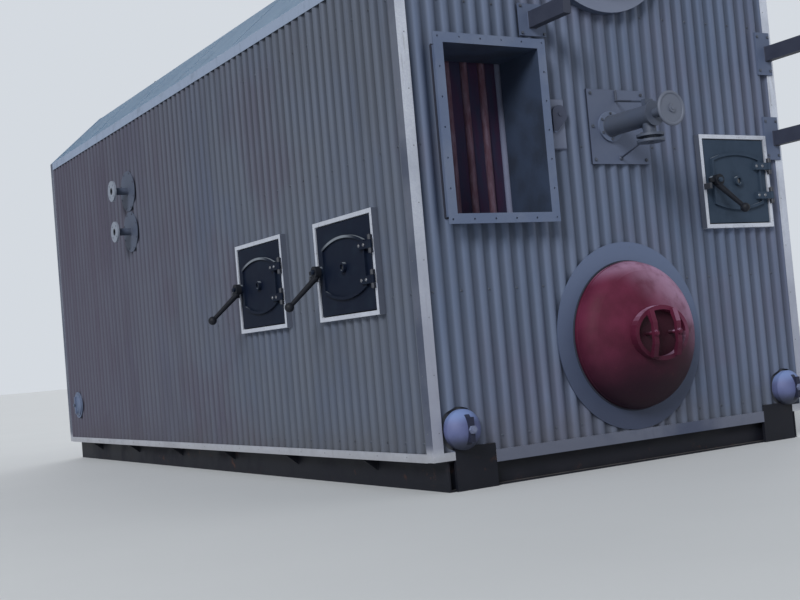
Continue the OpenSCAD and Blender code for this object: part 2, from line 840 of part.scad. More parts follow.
module side_header() {
    z = base_z + cap_z;
    // The dome is part of a sphere that passes through the skirt's edge and the dome's top
    dome_r = (cap_r * cap_r + cap_rise * cap_rise) / (2 * cap_rise);
    skirt_y = -half_l - cap_skirt;
    clamp_y = skirt_y - cap_rise + clamp_t / 2;
    translate([-cap_x, 0, z]) {
        forward([0, -in_y, 0], header_pipe_r, half_l - in_y + past);
        forward([0, -half_l, 0], cap_r, cap_skirt);
        intersection() {
            translate([0, skirt_y - cap_rise + dome_r, 0]) sphere(r = dome_r);
            forward([0, skirt_y, 0], cap_r, cap_rise + past);
        }
        block([-clamp_w / 2, clamp_y - clamp_t, -clamp_l / 2], [clamp_w / 2, clamp_y, clamp_l / 2]);
        forward([0, clamp_y, 0], clamp_bolt_r, clamp_t + clamp_nut_r);
        translate([0, clamp_y - clamp_t, 0]) rotate([90, 0, 0])
            cylinder(r = clamp_nut_r, h = clamp_nut_r * 0.7, $fn = 6);
    }
}

module side_headers() { color([0.62, 0.68, 0.80]) both_ends() both_sides() side_header(); }

/* Flue opening: a flanged duct through the front wall, with boiler tubes behind it. */

module flue_duct() {
    z = base_z + duct_z;
    face = -half_l - duct_out;
    color([0.60, 0.64, 0.70]) difference() {
        union() {
            block([duct_x - duct_ax, face, z - duct_az],
                [duct_x + duct_ax, -half_l + duct_deep, z + duct_az]);
            block([duct_x - duct_w / 2 - duct_leg, face, z - duct_h / 2 - duct_leg],
                [duct_x + duct_w / 2 + duct_leg, face + duct_t, z + duct_h / 2 + duct_leg]);
        }
        block([duct_x - duct_w / 2, face - past, z - duct_h / 2],
            [duct_x + duct_w / 2, -half_l + duct_deep + past, z + duct_h / 2]);
        duct_bolts() forward([0, face + duct_t + past, 0], duct_hole_r, duct_t + 2 * past);
    }
}

// Bolt holes at even steps round the middle of the flange
module duct_bolts() {
    x = duct_w / 2 + (duct_t + duct_leg) / 2;
    z = duct_h / 2 + (duct_t + duct_leg) / 2;
    translate([duct_x, 0, base_z + duct_z]) {
        for (i = [0 : duct_n_x], s = [-1, 1]) translate([x * (2 * i / duct_n_x - 1), 0, s * z]) children();
        for (j = [1 : duct_n_z - 1], s = [-1, 1])
            translate([s * x, 0, z * (2 * j / duct_n_z - 1)]) children();
    }
}

panel_y = -half_l + duct_deep + header_r + row_gap;
panel_low = low_z + row_low;
panel_high = up_z - row_high;

module tube_row(r) {
    first = duct_x + duct_w / 2 + tube_past - (tube_n - 1) * tube_pitch;
    y = panel_y + r * row_pitch;
    color([0.42, 0.13, 0.12]) difference() {
        union() {
            for (i = [0 : tube_n - 1])
                translate([first + i * tube_pitch, y, panel_low])
                    cylinder(r = tube_r, h = panel_high - panel_low);
            for (z = [panel_low, panel_high])
                translate([-in_x, y, z]) rotate([0, 90, 0]) cylinder(r = header_r, h = in_x);
        }
        for (z = [low_z, up_z]) forward([0, 0, z], drum_r + seat_gap, half_l);
    }
}

/* Doors: hinged cast doors with a raised arched panel and a cranked lever. */

// The next modules are drawn for a door in the front wall: its middle at the origin, y = 0
// at the trims' outer face, hinges on the right and the lever's spindle on the left.
hinge_y = -frame_out - hinge_out;
face_y = -frame_out + 6;
hub_y = face_y - boss_h - hub_play;
nut_h = 12;

module at_front_door() { translate([front_door_x, -half_l, base_z + front_door_z]) children(); }
module at_left_door(y) {
    translate([-half_w, y, base_z + side_door_z]) rotate([0, 0, -90]) children();
}
module at_hinges(w, h) {
    for (s = [-1, 1]) translate([w / 2 - bar_t / 2, hinge_y, s * (h / 2 - hinge_in)]) children();
}

module door_hole(w, h) {
    block([-w / 2, -past - frame_out, -h / 2], [w / 2, clad + wall_t + past, h / 2]);
}

module door_frame(w, h) {
    difference() {
        block([-w / 2, -frame_out, -h / 2], [w / 2, clad + wall_t, h / 2]);
        block([-w / 2 + bar_t, -frame_out - past, -h / 2 + bar_t],
            [w / 2 - bar_t, clad + wall_t + past, h / 2 - bar_t]);
    }
    at_hinges(w, h) {
        for (low = [-knuckle_l / 2 - hinge_play - lug_l, knuckle_l / 2 + hinge_play]) {
            translate([0, 0, low]) cylinder(r = knuckle_r, h = lug_l);
            block([-lug_t / 2, 0, low], [lug_t / 2, hinge_out, low + lug_l]);
        }
        pin_l = knuckle_l + 2 * (lug_l + hinge_play + pin_out);
        translate([0, 0, -pin_l / 2]) cylinder(r = pin_r, h = pin_l);
    }
    // The ledge beside the lever's tongue
    ledge_top = -tongue_w / 2 - ledge_gap;
    block([-w / 2 + 2, hub_y - hub_t / 2 - tongue_t / 2, ledge_top - ledge_h],
        [-w / 2 + bar_t - 4, -frame_out, ledge_top]);
}

module door_leaf(w, h) {
    half = w / 2 - bar_t - leaf_gap;
    tall = h / 2 - bar_t - leaf_gap;
    brick_in = 40;
    hub_x = -w / 2 + hub_in;
    difference() {
        union() {
            block([-half, face_y, -tall], [half, face_y + leaf_t, tall]);
            block([-half + brick_in, face_y + leaf_t, -tall + brick_in],
                [half - brick_in, face_y + leaf_t + brick_t, tall - brick_in]);
            upright(face_y - arch_t, arch_t) difference() {
                arch(w * arch_share, tall, 0);
                arch(w * arch_share, tall, arch_rib);
            }
            upright(face_y - arch_t / 3, arch_t / 3) arch(w * arch_share, tall, 0);
            forward([0, face_y, 0], sight_r, arch_t + 12);
            forward([hub_x, face_y, 0], boss_h, boss_h);
            forward([hub_x, face_y, 0], spindle_r, face_y - hub_y + hub_t + nut_h + 3);
            translate([hub_x, hub_y - hub_t - hub_play, 0]) rotate([90, 0, 0])
                cylinder(r = 1.7 * spindle_r, h = nut_h, $fn = 6);
            at_hinges(w, h) {
                translate([0, 0, -knuckle_l / 2]) cylinder(r = knuckle_r, h = knuckle_l);
                block([-strap_l, -strap_t / 2, -knuckle_l / 2], [0, strap_t / 2, knuckle_l / 2]);
                block([-strap_l, 0, -knuckle_l / 2],
                    [-bar_t / 2 - leaf_gap - strap_t, hinge_out + strap_t / 2, knuckle_l / 2]);
            }
        }
        at_hinges(w, h) translate([0, 0, -knuckle_l]) cylinder(r = pin_r + pin_gap, h = 2 * knuckle_l);
        forward([0, face_y - arch_t, 0], sight_r * 0.6, 2 * arch_t);
    }
}

// A panel with straight sides and a shallow arch above and below, drawn in by an even margin
module arch(w, tall, margin) {
    top = tall - arch_low;
    intersection() {
        for_both_arches(top) circle(r = arch_r - margin, $fn = 128);
        translate([-w / 2 + margin, -tall]) square([w - 2 * margin, 2 * tall]);
    }
}

module for_both_arches(top) {
    intersection_for(s = [-1, 1]) translate([0, s * (top - arch_r)]) children();
}

module door_lever(w) {
    hub_x = -w / 2 + hub_in;
    root_y = hub_y - hub_t / 2;
    start = [0, root_y, -arm_low];
    run = [0, -lever_out - root_y, -lever_drop + arm_low];
    translate([hub_x, 0, 0]) difference() {
        union() {
            forward([0, hub_y, 0], hub_r, hub_t);
            translate(start) rotate([atan2(-run[1], run[2]), 0, 0])
                cylinder(r1 = arm_r1, r2 = arm_r2, h = norm(run));
            translate(start + run) sphere(r = knob_r);
            // The tongue that holds the door shut
            block([-hub_in + 10, root_y - tongue_t / 2, -tongue_w / 2],
                [0, root_y + tongue_t / 2, tongue_w / 2]);
        }
        forward([0, 0, 0], spindle_r + pin_gap, 2 * (hub_t + frame_out));
    }
}

module front_door_frame() {
    color([0.74, 0.76, 0.80]) at_front_door() door_frame(front_door_w, front_door_h);
}
module front_door() { color([0.07, 0.08, 0.10]) at_front_door() door_leaf(front_door_w, front_door_h); }
module front_door_lever() { color([0.06, 0.06, 0.07]) at_front_door() door_lever(front_door_w); }
module left_frame(y) { color([0.74, 0.76, 0.80]) at_left_door(y) door_frame(side_door_w, side_door_h); }
module left_door(y) { color([0.07, 0.08, 0.10]) at_left_door(y) door_leaf(side_door_w, side_door_h); }
module left_lever(y) { color([0.06, 0.06, 0.07]) at_left_door(y) door_lever(side_door_w); }

// The doors of the right wall, which stay shut
module right_doors() {
    color([0.09, 0.10, 0.12]) mirror([1, 0, 0]) for (y = [door_1_y, door_2_y]) at_left_door(y) {
        intersection() {
            door_frame(side_door_w, side_door_h);
            block([-side_door_w, -side_door_w, -side_door_h], [side_door_w, clad, side_door_h]);
        }
        intersection() {
            door_leaf(side_door_w, side_door_h);
            block([-side_door_w, -side_door_w, -side_door_h], [side_door_w, clad, side_door_h]);
        }
        door_lever(side_door_w);
    }
}

/* Soot blower: a wall plate, a barrel with its steam inlet below, and a hand wheel. */

blower_h = base_z + blower_z;
plate_y = -ridge_y - plate_t;
barrel_end = plate_y - barrel_l;
wheel_y = barrel_end - neck_l;
inlet_y = barrel_end + 60;

module blower_body() {
    face = blower_h - inlet_drop;
    color([0.48, 0.53, 0.60]) difference() {
        union() {
            block([plate_x - plate_w / 2, plate_y, blower_h - plate_w / 2],
                [plate_x + plate_w / 2, -ridge_y, blower_h + plate_w / 2]);
            forward([blower_x, -ridge_y, blower_h], barrel_r, plate_t + barrel_l);
            forward([blower_x, -ridge_y, blower_h], barrel_r + collar_w, plate_t + blower_flange_t);
            forward([blower_x, barrel_end + blower_flange_t, blower_h], barrel_r + 12, blower_flange_t);
            // The gland and the spindle that the wheel turns on
            forward([blower_x, barrel_end, blower_h], 2.5 * stem_r, neck_l - 20);
            forward([blower_x, barrel_end, blower_h], stem_r, neck_l + wheel_hub_l + 4);
            // The steam inlet: a pipe with a pair of flanges
            translate([blower_x, inlet_y, face]) {
                cylinder(r = inlet_r, h = inlet_drop);
                for (z = [0, blower_flange_t + 20])
                    translate([0, 0, z]) cylinder(r = inlet_r + inlet_flange_w, h = blower_flange_t);
            }
            // The stay from the inlet back to the plate
            stay_foot = [blower_x + stay_x, plate_y + 4, blower_h - stay_z];
            rod([blower_x, inlet_y, face + blower_flange_t + 28], stay_foot);
            translate(stay_foot) sphere(r = 18);
            // The trip rod, from its block on the barrel to its foot with the upturned end
            trip_top = blower_h + barrel_r + trip_block;
            trip_foot = [blower_x + trip_x, plate_y + 4, blower_h + trip_z];
            block([blower_x - trip_block, inlet_y - trip_block / 2, blower_h],
                [blower_x + trip_block, inlet_y + trip_block / 2, trip_top]);
            rod([blower_x, inlet_y, trip_top - 14], trip_foot);
            rod(trip_foot - [0, 12, 0], trip_foot + [0, -12, trip_up]);
        }
        translate([blower_x, inlet_y, face - past]) cylinder(r = inlet_bore_r, h = inlet_bore_l + past);
    }
}
inlet_bore_l = 120;
trip_block = 34;

// A straight round rod between two points
module rod(a, b, r = 7) {
    d = b - a;
    flat = norm([d[0], d[1]]);
    translate(a) rotate([0, atan2(flat, d[2]), atan2(d[1], d[0])]) cylinder(r = r, h = norm(d));
}

wheel_hub_l = 30;

module blower_wheel() {
    color([0.55, 0.59, 0.66]) translate([blower_x, wheel_y, blower_h]) difference() {
        union() {
            forward([0, 0, 0], stem_r + 14, wheel_hub_l);
            forward([0, -wheel_bar_r + 4, 0], wheel_r - wheel_bar_r, 12);
            translate([0, -wheel_bar_r - 2, 0]) rotate([90, 0, 0]) rotate_extrude()
                translate([wheel_r - wheel_bar_r, 0]) circle(r = wheel_bar_r);
        }
        forward([0, past, 0], stem_r + pin_gap, wheel_hub_l + 2 * past);
    }
}

/* Fittings on the walls. */

module gauge_places() {
    for (i = [0, 1]) translate([-core_x + past, -half_l + gauge_y, base_z + gauge_z + i * gauge_pitch])
        rotate([0, -90, 0]) children();
}

gauge_flange_t = 18;

module gauge_nozzles() {
    reach = half_w + gauge_out - core_x + past;
    wall = ridge_x - core_x + past;
    color([0.58, 0.62, 0.68]) difference() {
        union() {
            gauge_places() translate([0, 0, past]) cylinder(r = gauge_pipe_r, h = reach - past);
            gauge_places() translate([0, 0, wall]) cylinder(r = rose_r, h = rose_t);
            gauge_places() translate([0, 0, reach - gauge_flange_t])
                cylinder(r = gauge_flange_r, h = gauge_flange_t);
        }
        gauge_places() translate([0, 0, past + gauge_bore_in]) cylinder(r = gauge_bore_r, h = reach);
        gauge_places() for (a = [45 : 90 : 315]) rotate([0, 0, a])
            translate([gauge_bolt_r, 0, reach - gauge_flange_t - past])
            cylinder(r = gauge_hole_r, h = gauge_flange_t + 2 * past);
    }
}

module handholes() {
    bar = [180, 28, 16];
    color([0.46, 0.50, 0.56]) both_sides()
        translate([-ridge_x, -half_l + handhole_y, base_z + handhole_z]) rotate([0, -90, 0]) {
            cylinder(r = handhole_r, h = handhole_t);
            cylinder(r = handhole_r - 22, h = handhole_t + 8);
            translate([0, 0, handhole_t + 8])
                cylinder(r1 = handhole_r - 30, r2 = handhole_r / 2, h = bar[2]);
            translate([0, 0, handhole_t + 8 + 1.25 * bar[2]]) cube(bar, center = true);
            cylinder(r = stud_r, h = handhole_t + 8 + 1.75 * bar[2] + stud_past);
        }
}
handhole_t = 10;

peep_x = -half_w + peep_in;
peep_eye = base_z + peep_z;
// Middle of the peephole, in X and Z, behind the tapering part of its cover
peep_hole = [peep_x, peep_eye] - [sin(peep_turn), cos(peep_turn)] * peep_arm;
peep_tube_out = 12;
peep_y = -half_l - peep_tube_out;
peep_wall = 12;
peep_pivot_r = 8;
peep_eye_r = 20;
peep_strap = 14;
peep_cover_t = 8;
peep_play = 1;

module peephole_tube() {
    color([0.44, 0.48, 0.55]) difference() {
        union() {
            forward([peep_hole[0], -core_y, peep_hole[1]], peep_tube_r, clad + peep_tube_out);
            forward([peep_x, -ridge_y, peep_eye], peep_pivot_r + 6, trim_t + peep_tube_out);
            // The strap between the tube and the pivot
            upright(-half_l, trim_t) translate([peep_x, peep_eye]) {
                rotate(-peep_turn) translate([-peep_strap, -peep_arm]) square([2 * peep_strap, peep_arm]);
                circle(r = peep_eye_r);
            }
            forward([peep_x, -half_l, peep_eye], peep_pivot_r,
                peep_tube_out + 3 * peep_play + peep_cover_t + 3);
            forward([peep_x, peep_y - 2 * peep_play - peep_cover_t, peep_eye], peep_pivot_r + 5, 5);
        }
        forward([peep_hole[0], -half_l + 10, peep_hole[1]], peep_tube_r - peep_wall, 60);
    }
}

// A drop-shaped plate that hangs from its round end, a little to the left
module peephole_cover() {
    // Where the cover's straight sides leave its two round ends
    t = [sqrt(pow(peep_tip, 2) - pow(peep_r - peep_tip_r, 2)), peep_tip_r - peep_r] / peep_tip;
    color([0.40, 0.44, 0.51]) difference() {
        upright(peep_y - peep_play - peep_cover_t, peep_cover_t)
            translate([peep_x, peep_eye]) rotate(-peep_turn) {
                circle(r = peep_r);
                translate([0, -peep_tip]) circle(r = peep_tip_r);
                round_end = t * (peep_r - seat_gap);
                tip_end = t * (peep_tip_r - seat_gap) - [0, peep_tip];
                polygon([[-round_end[0], round_end[1]], [-tip_end[0], tip_end[1]], tip_end, round_end]);
            }
        forward([peep_x, -half_l, peep_eye], peep_pivot_r + pin_gap, 60);
    }
}

// A beam on its plate: x and z are the beam's middle, l its length, y the plate's back,
// low and high the plate's corners as seen from that middle
module bracket(x, z, l, y, low, high) {
    face = y - bracket_t;
    block([x + low[0], face, z + low[1]], [x + high[0], y, z + high[1]]);
    block([x - arm_w / 2, face - l, z - arm_h / 2], [x + arm_w / 2, face, z + arm_h / 2]);
}

module platform_brackets() {
    tall = 1.5 * arm_h;
    color([0.12, 0.13, 0.17]) {
        bracket(-half_w + left_arm_in, base_z + left_arm_z, left_arm_l, -ridge_y,
            [-arm_h, -arm_h], [arm_h, arm_h]);
        for (z = [right_arm_low, right_arm_low + right_arm_pitch])
            bracket(half_w - right_arm_in, base_z + z, right_arm_l, -half_l,
                [arm_w / 2 - right_plate_w, -tall], [arm_w / 2, tall]);
    }
}

nozzle_t = 9;
nozzle_r = steam_bore_r + nozzle_t;
module nozzle_places() {
    for (i = [0 : 2]) translate([0, -half_l + steam_y + i * nozzle_pitch, up_z]) children();
}

// A flanged nozzle on the upper drum
module nozzle(bore) {
    face = up_ring_r + nozzle_h;
    flange_r = bore * 1.55 + 30;
    difference() {
        union() {
            cylinder(r = bore + nozzle_t, h = face);
            translate([0, 0, face - nozzle_flange_t]) cylinder(r = flange_r, h = nozzle_flange_t);
            translate([0, 0, up_ring_r + 4]) cylinder(r = bore + 40, h = 4);
        }
        translate([0, 0, face - nozzle_deep]) cylinder(r = bore, h = face);
        for (a = [22.5 : 45 : 337.5]) rotate([0, 0, a])
            translate([flange_r - nozzle_edge, 0, face - nozzle_flange_t - past])
            cylinder(r = nozzle_hole_r, h = nozzle_flange_t + 2 * past);
    }
}

module top_nozzles() {
    color([0.50, 0.53, 0.58]) difference() {
        union() for (i = [0 : 2])
            translate([0, -half_l + steam_y + i * nozzle_pitch, up_z])
            nozzle(i == 0 ? steam_bore_r : safety_bore_r);
        forward([0, half_l, up_z], drum_r + seat_gap, 2 * half_l);
    }
}

module lifting_lugs() {
    color([0.14, 0.15, 0.17]) both_ends() both_sides()
        translate([(deck_in + deck_x) / 2, lug_y, top_z]) {
            block([-70, -100, 0], [70, 100, 14]);
            difference() {
                rotate([90, 0, 90]) translate([0, 0, -lift_t / 2]) linear_extrude(lift_t) {
                    translate([0, lift_h]) circle(r = lift_r);
                    translate([-lift_r, 0]) square([2 * lift_r, lift_h]);
                }
                translate([-lift_t, 0, lift_h]) rotate([0, 90, 0]) cylinder(r = lift_hole_r, h = 2 * lift_t);
            }
        }
}

skid_runners();
skid_beams();
casing_floor();
front_wall_left();
front_wall_centre();
front_wall_right();
back_wall();
left_wall_bands();
left_wall_piers();
right_wall();
roof_slopes();
roof_deck();
drum_lagging();
front_cladding();
back_cladding();
left_cladding();
right_cladding();
wall_trims();
roof_trims();
header_feet();
lower_drum();
upper_drum();
drum_rings();
manhole_covers();
manhole_yokes();
side_headers();
flue_duct();
tube_row(0);  // tube_row_1
tube_row(1);  // tube_row_2
tube_row(2);  // tube_row_3
front_door_frame();
front_door();
front_door_lever();
left_frame(door_1_y);  // left_door_frame_1
left_door(door_1_y);  // left_door_1
left_lever(door_1_y);  // left_lever_1
left_frame(door_2_y);  // left_door_frame_2
left_door(door_2_y);  // left_door_2
left_lever(door_2_y);  // left_lever_2
right_doors();
blower_body();
blower_wheel();
gauge_nozzles();
handholes();
peephole_tube();
peephole_cover();
platform_brackets();
top_nozzles();
lifting_lugs();
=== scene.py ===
# A packaged two-drum water-tube boiler on its skid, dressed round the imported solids.
# X runs across the front, Y from the front to the back, Z up; metres, ground at 0.

import math

import bmesh
import bpy
from mathutils import Matrix, Vector


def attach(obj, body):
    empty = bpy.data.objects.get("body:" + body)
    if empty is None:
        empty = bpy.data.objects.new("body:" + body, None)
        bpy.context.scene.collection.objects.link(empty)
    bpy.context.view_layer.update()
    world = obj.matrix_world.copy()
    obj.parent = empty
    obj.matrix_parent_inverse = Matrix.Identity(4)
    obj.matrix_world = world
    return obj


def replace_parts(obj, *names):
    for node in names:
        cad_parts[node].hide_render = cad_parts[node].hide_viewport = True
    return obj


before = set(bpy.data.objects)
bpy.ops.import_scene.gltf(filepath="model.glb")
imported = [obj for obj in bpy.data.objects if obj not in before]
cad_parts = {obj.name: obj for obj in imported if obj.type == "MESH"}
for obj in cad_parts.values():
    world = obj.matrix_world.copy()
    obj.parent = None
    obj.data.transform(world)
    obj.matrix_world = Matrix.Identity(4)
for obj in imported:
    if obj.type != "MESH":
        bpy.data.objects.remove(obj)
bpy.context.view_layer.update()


# ---------------------------------------------------------------------------
# Camera: held low in front of the boiler's left corner and tilted a little, as
# the photograph was taken. Its place comes from the corners seen in the picture.

camera_place = Vector((-5.488, -9.798, 0.861))
yaw, pitch, roll = (math.radians(angle) for angle in (31.52, 2.44, -4.96))
ahead = Vector((math.sin(yaw) * math.cos(pitch), math.cos(yaw) * math.cos(pitch), math.sin(pitch)))
level = Vector((math.cos(yaw), -math.sin(yaw), 0))
upright = level.cross(ahead)
across = level * math.cos(roll) + upright * math.sin(roll)
up = upright * math.cos(roll) - level * math.sin(roll)

camera_data = bpy.data.cameras.new("photo_camera")
camera_data.lens = 54.7
camera_data.sensor_width = 36
camera_data.clip_end = 300
camera = bpy.data.objects.new("photo_camera", camera_data)
bpy.context.scene.collection.objects.link(camera)
aim = Matrix((across, up, -ahead)).transposed().to_4x4()
camera.matrix_world = Matrix.Translation(camera_place) @ aim
bpy.context.scene.camera = camera
bpy.context.scene.view_settings.view_transform = "Standard"

# ---------------------------------------------------------------------------
# Studio: a pale concrete floor under an even pale sky, with two broad soft suns.
# The first carries the shape, from the front left; the second opens the shadows.


class Value:
    """A number inside a material. Python's operators on it add Math nodes."""

    def __init__(self, tree, socket):
        self.tree, self.socket = tree, socket

    @staticmethod
    def maths(tree, operation, *terms):
        node = tree.nodes.new("ShaderNodeMath")
        node.operation = operation
        for place, term in zip(node.inputs, terms):
            if isinstance(term, Value):
                tree.links.new(term.socket, place)
            else:
                place.default_value = term
        return Value(tree, node.outputs[0])

    def __add__(self, other):
        return Value.maths(self.tree, "ADD", self, other)

    def __sub__(self, other):
        return Value.maths(self.tree, "SUBTRACT", self, other)

    def __rsub__(self, other):
        return Value.maths(self.tree, "SUBTRACT", other, self)

    def __mul__(self, other):
        return Value.maths(self.tree, "MULTIPLY", self, other)

    def __truediv__(self, other):
        return Value.maths(self.tree, "DIVIDE", self, other)

    def __pow__(self, other):
        return Value.maths(self.tree, "POWER", self, other)

    def __abs__(self):
        return Value.maths(self.tree, "ABSOLUTE", self)

    __radd__ = __add__
    __rmul__ = __mul__

    def over(self, edge, blur=0.0005):
        """0 below the edge and 1 above it, with a soft step of that width."""
        return Value.maths(self.tree, "ADD", (self - edge) / blur, 0.5).clamped()

    def under(self, edge, blur=0.0005):
        """1 below the edge and 0 above it, with the same soft step."""
        return (self * -1.0).over(-edge, blur)

    def clamped(self):
        result = Value.maths(self.tree, "MULTIPLY", self, 1.0)
        result.socket.node.use_clamp = True
        return result


class Finish:
    """One painted or bare finish: a material with its nodes and its surface shader."""

    def __init__(self, name, **constants):
        self.material = bpy.data.materials.new(name)
        self.material.use_nodes = True
        self.tree = self.material.node_tree
        self.tree.nodes.clear()
        self.colour = None
        self.surface = self.tree.nodes.new("ShaderNodeBsdfPrincipled")
        self.fill(self.surface, {socket.replace("_", " "): number for socket, number in constants.items()})
        self.node("ShaderNodeOutputMaterial", None, {0: self.surface.outputs[0]}, None)
        self.place = self.node("ShaderNodeTexCoord", output="Object")
        axes = self.tree.nodes.new("ShaderNodeSeparateXYZ")
        self.fill(axes, {0: self.place})
        self.x, self.y, self.z = (Value(self.tree, socket) for socket in axes.outputs)
        normal = self.node("ShaderNodeNewGeometry", output="Normal")
        self.upward = Value(self.tree, self.node("ShaderNodeSeparateXYZ", None, {0: normal}, 2))

    def fill(self, node, sockets):
        """Gives a node's sockets their values or links."""
        for name, value in sockets.items():
            value = value.socket if isinstance(value, Value) else value
            if isinstance(value, bpy.types.NodeSocket):
                self.tree.links.new(value, node.inputs[name])
            else:
                node.inputs[name].default_value = value

    def node(self, kind, settings=None, sockets=None, output=0):
        """Any other node: its settings first, then its sockets' values or links."""
        node = self.tree.nodes.new(kind)
        for name, setting in (settings or {}).items():
            setattr(node, name, setting)
        self.fill(node, sockets or {})
        return None if output is None else node.outputs[output]

    def stretched(self, sizes, shift=(0, 0, 0)):
        """The place on the object, counted in features of that size along X, Y and Z."""
        sockets = {"Vector": self.place, "Scale": tuple(1 / size for size in sizes), "Location": shift}
        return self.node("ShaderNodeMapping", None, sockets)

    def noise(self, sizes, detail=3.0, rough=0.55, shift=(0, 0, 0)):
        """A cloudy pattern from 0 to 1 whose clouds have those sizes in metres."""
        vector = self.stretched(sizes if isinstance(sizes, tuple) else (sizes,) * 3, shift)
        sockets = {"Vector": vector, "Scale": 1.0, "Detail": detail, "Roughness": rough}
        return Value(self.tree, self.node("ShaderNodeTexNoise", None, sockets))

    def cells(self, size, output):
        """The crystals of a zinc coating: a pattern of cells of that size in metres."""
        sockets = {"Vector": self.stretched((size,) * 3), "Scale": 1.0}
        return self.node("ShaderNodeTexVoronoi", None, sockets, output)

    def step(self, value, low, high):
        """Goes smoothly from 0 at low to 1 at high."""
        sockets = {"Value": value, "From Min": low, "From Max": high}
        smooth = {"interpolation_type": "SMOOTHSTEP"}
        return Value(self.tree, self.node("ShaderNodeMapRange", smooth, sockets))

    def inside(self, low, high):
        """1 inside the block between two corners and 0 outside; None leaves a side open."""
        share = 1.0
        for value, lowest, highest in zip((self.x, self.y, self.z), low, high):
            if lowest is not None:
                share = value.over(lowest, 0.001) * share
            if highest is not None:
                share = value.under(highest, 0.001) * share
        return share

    def mixed(self, first, second, share):
        """Two colours mixed by a share from 0 to 1."""
        first, second = ((*colour, 1) if isinstance(colour, tuple) else colour for colour in (first, second))
        return self.node("ShaderNodeMix", {"data_type": "RGBA"}, {0: share, 6: first, 7: second}, 2)

    def base(self, first, second, share):
        """The finish's own colour, which wanders between two tones."""
        self.colour = self.mixed(first, second, share)

    def tint(self, colour, share):
        """Lays another colour over what is there, as strongly as the share says."""
        self.colour = self.mixed(self.colour, colour, share)

    def weather(self, dust, dust_and_highlight_share, grime, grime_and_shade_share):
        """Adds dust and a painted highlight on what faces up, and grime with painted shade on what faces
        down, both broken up by clouds.
        """
        clouds = self.noise(0.16, 5)
        top = self.step(self.upward, 0.30, 0.95) * self.step(clouds, 0.30, 0.55)
        under = self.step(self.upward, 0.15, -0.75) * (0.5 + 0.5 * clouds)
        self.tint(dust, top * dust_and_highlight_share)
        self.tint(grime, under * grime_and_shade_share)

    def done(self, roughness, height, depth):
        """Joins the colour, the roughness and a relief of that depth in metres to the surface."""
        relief = self.node("ShaderNodeBump", None, {"Height": height, "Distance": depth, "Strength": 1.0})
        self.fill(self.surface, {"Base Color": self.colour, "Roughness": roughness, "Normal": relief})


pale_floor = (0.62, 0.64, 0.66)
pale_sky = (0.66, 0.70, 0.75)
concrete = Finish("studio_floor")
concrete.base(pale_floor, (0.58, 0.60, 0.62), concrete.noise(1.4, 5))
concrete.done(0.85, concrete.noise(0.02, 2), 0.0006)
floor_radius = 120.0
bm = bmesh.new()
bmesh.ops.create_circle(bm, cap_ends=True, segments=96, radius=floor_radius)
mesh = bpy.data.meshes.new("floor")
bm.to_mesh(mesh)
bm.free()
mesh.materials.append(concrete.material)
disc = bpy.data.objects.new("floor", mesh)
bpy.context.scene.collection.objects.link(disc)

world = bpy.data.worlds.new("studio_sky")
bpy.context.scene.world = world
world.use_nodes = True
sky = world.node_tree
sky.nodes.clear()
seen = sky.nodes.new("ShaderNodeBackground")
lighting = sky.nodes.new("ShaderNodeBackground")
chosen = sky.nodes.new("ShaderNodeMixShader")
seen.inputs["Color"].default_value = (*pale_sky, 1)
lighting.inputs["Color"].default_value = (0.90, 0.95, 1.0, 1)
lighting.inputs["Strength"].default_value = 0.36
ray = sky.nodes.new("ShaderNodeLightPath")
sky.links.new(ray.outputs["Is Camera Ray"], chosen.inputs[0])
sky.links.new(lighting.outputs[0], chosen.inputs[1])
sky.links.new(seen.outputs[0], chosen.inputs[2])
sky.links.new(chosen.outputs[0], sky.nodes.new("ShaderNodeOutputWorld").inputs[0])

for name, strength, breadth, towards in (
    ("soft_key", 2.30, 22, (0.70, 0.52, -0.50)),
    ("soft_fill", 0.35, 60, (-0.80, 0.40, -0.45)),
    ("soft_back", 1.00, 50, (-0.5, -0.8, -0.55)),
):
    sun_data = bpy.data.lights.new(name, "SUN")
    sun_data.energy = strength
    sun_data.angle = math.radians(breadth)
    sun = bpy.data.objects.new(name, sun_data)
    bpy.context.scene.collection.objects.link(sun)
    sun.rotation_euler = Vector(towards).to_track_quat("-Z", "Y").to_euler()

# ---------------------------------------------------------------------------
# Skid: two rolled channels, cross beams and triangular gussets, and the feet under
# the side headers. Welded mild steel in black paint, dusty, with rust coming through.


def dress(finish, *names):
    """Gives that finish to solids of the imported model."""
    for name in names:
        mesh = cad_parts[name].data
        mesh.materials.clear()
        mesh.materials.append(finish.material)


def link(name, bm, finish, body="casing", mend=True):
    """Makes a piece of a finished bmesh: smooth, but sharp at edges over 35 degrees."""
    if mend:
        bmesh.ops.remove_doubles(bm, verts=bm.verts, dist=0.00002)
        bmesh.ops.delete(bm, geom=[edge for edge in bm.edges if not edge.link_faces], context="EDGES")
        bmesh.ops.recalc_face_normals(bm, faces=bm.faces)
    mesh = bpy.data.meshes.new(name)
    bm.to_mesh(mesh)
    bm.free()
    for face in mesh.polygons:
        face.use_smooth = True
    mesh.set_sharp_from_angle(angle=math.radians(35))
    mesh.materials.append(finish.material)
    piece = bpy.data.objects.new(name, mesh)
    bpy.context.scene.collection.objects.link(piece)
    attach(piece, body)
    return piece


def aimed(place, axis):
    """The matrix that sets local Z along the axis, with its origin at the place."""
    turn = Vector((0, 0, 1)).rotation_difference(Vector(axis)).to_matrix().to_4x4()
    return Matrix.Translation(Vector(place)) @ turn


def cylinder(bm, place, axis, radius, length, sides=32, end_radius=None):
    """A round bar that starts at the place and runs along the axis."""
    middle = aimed(place, axis) @ Matrix.Translation((0, 0, length / 2))
    far_radius = radius if end_radius is None else end_radius
    bmesh.ops.create_cone(bm, cap_ends=True, segments=sides, radius1=radius, radius2=far_radius,
        depth=length, matrix=middle)


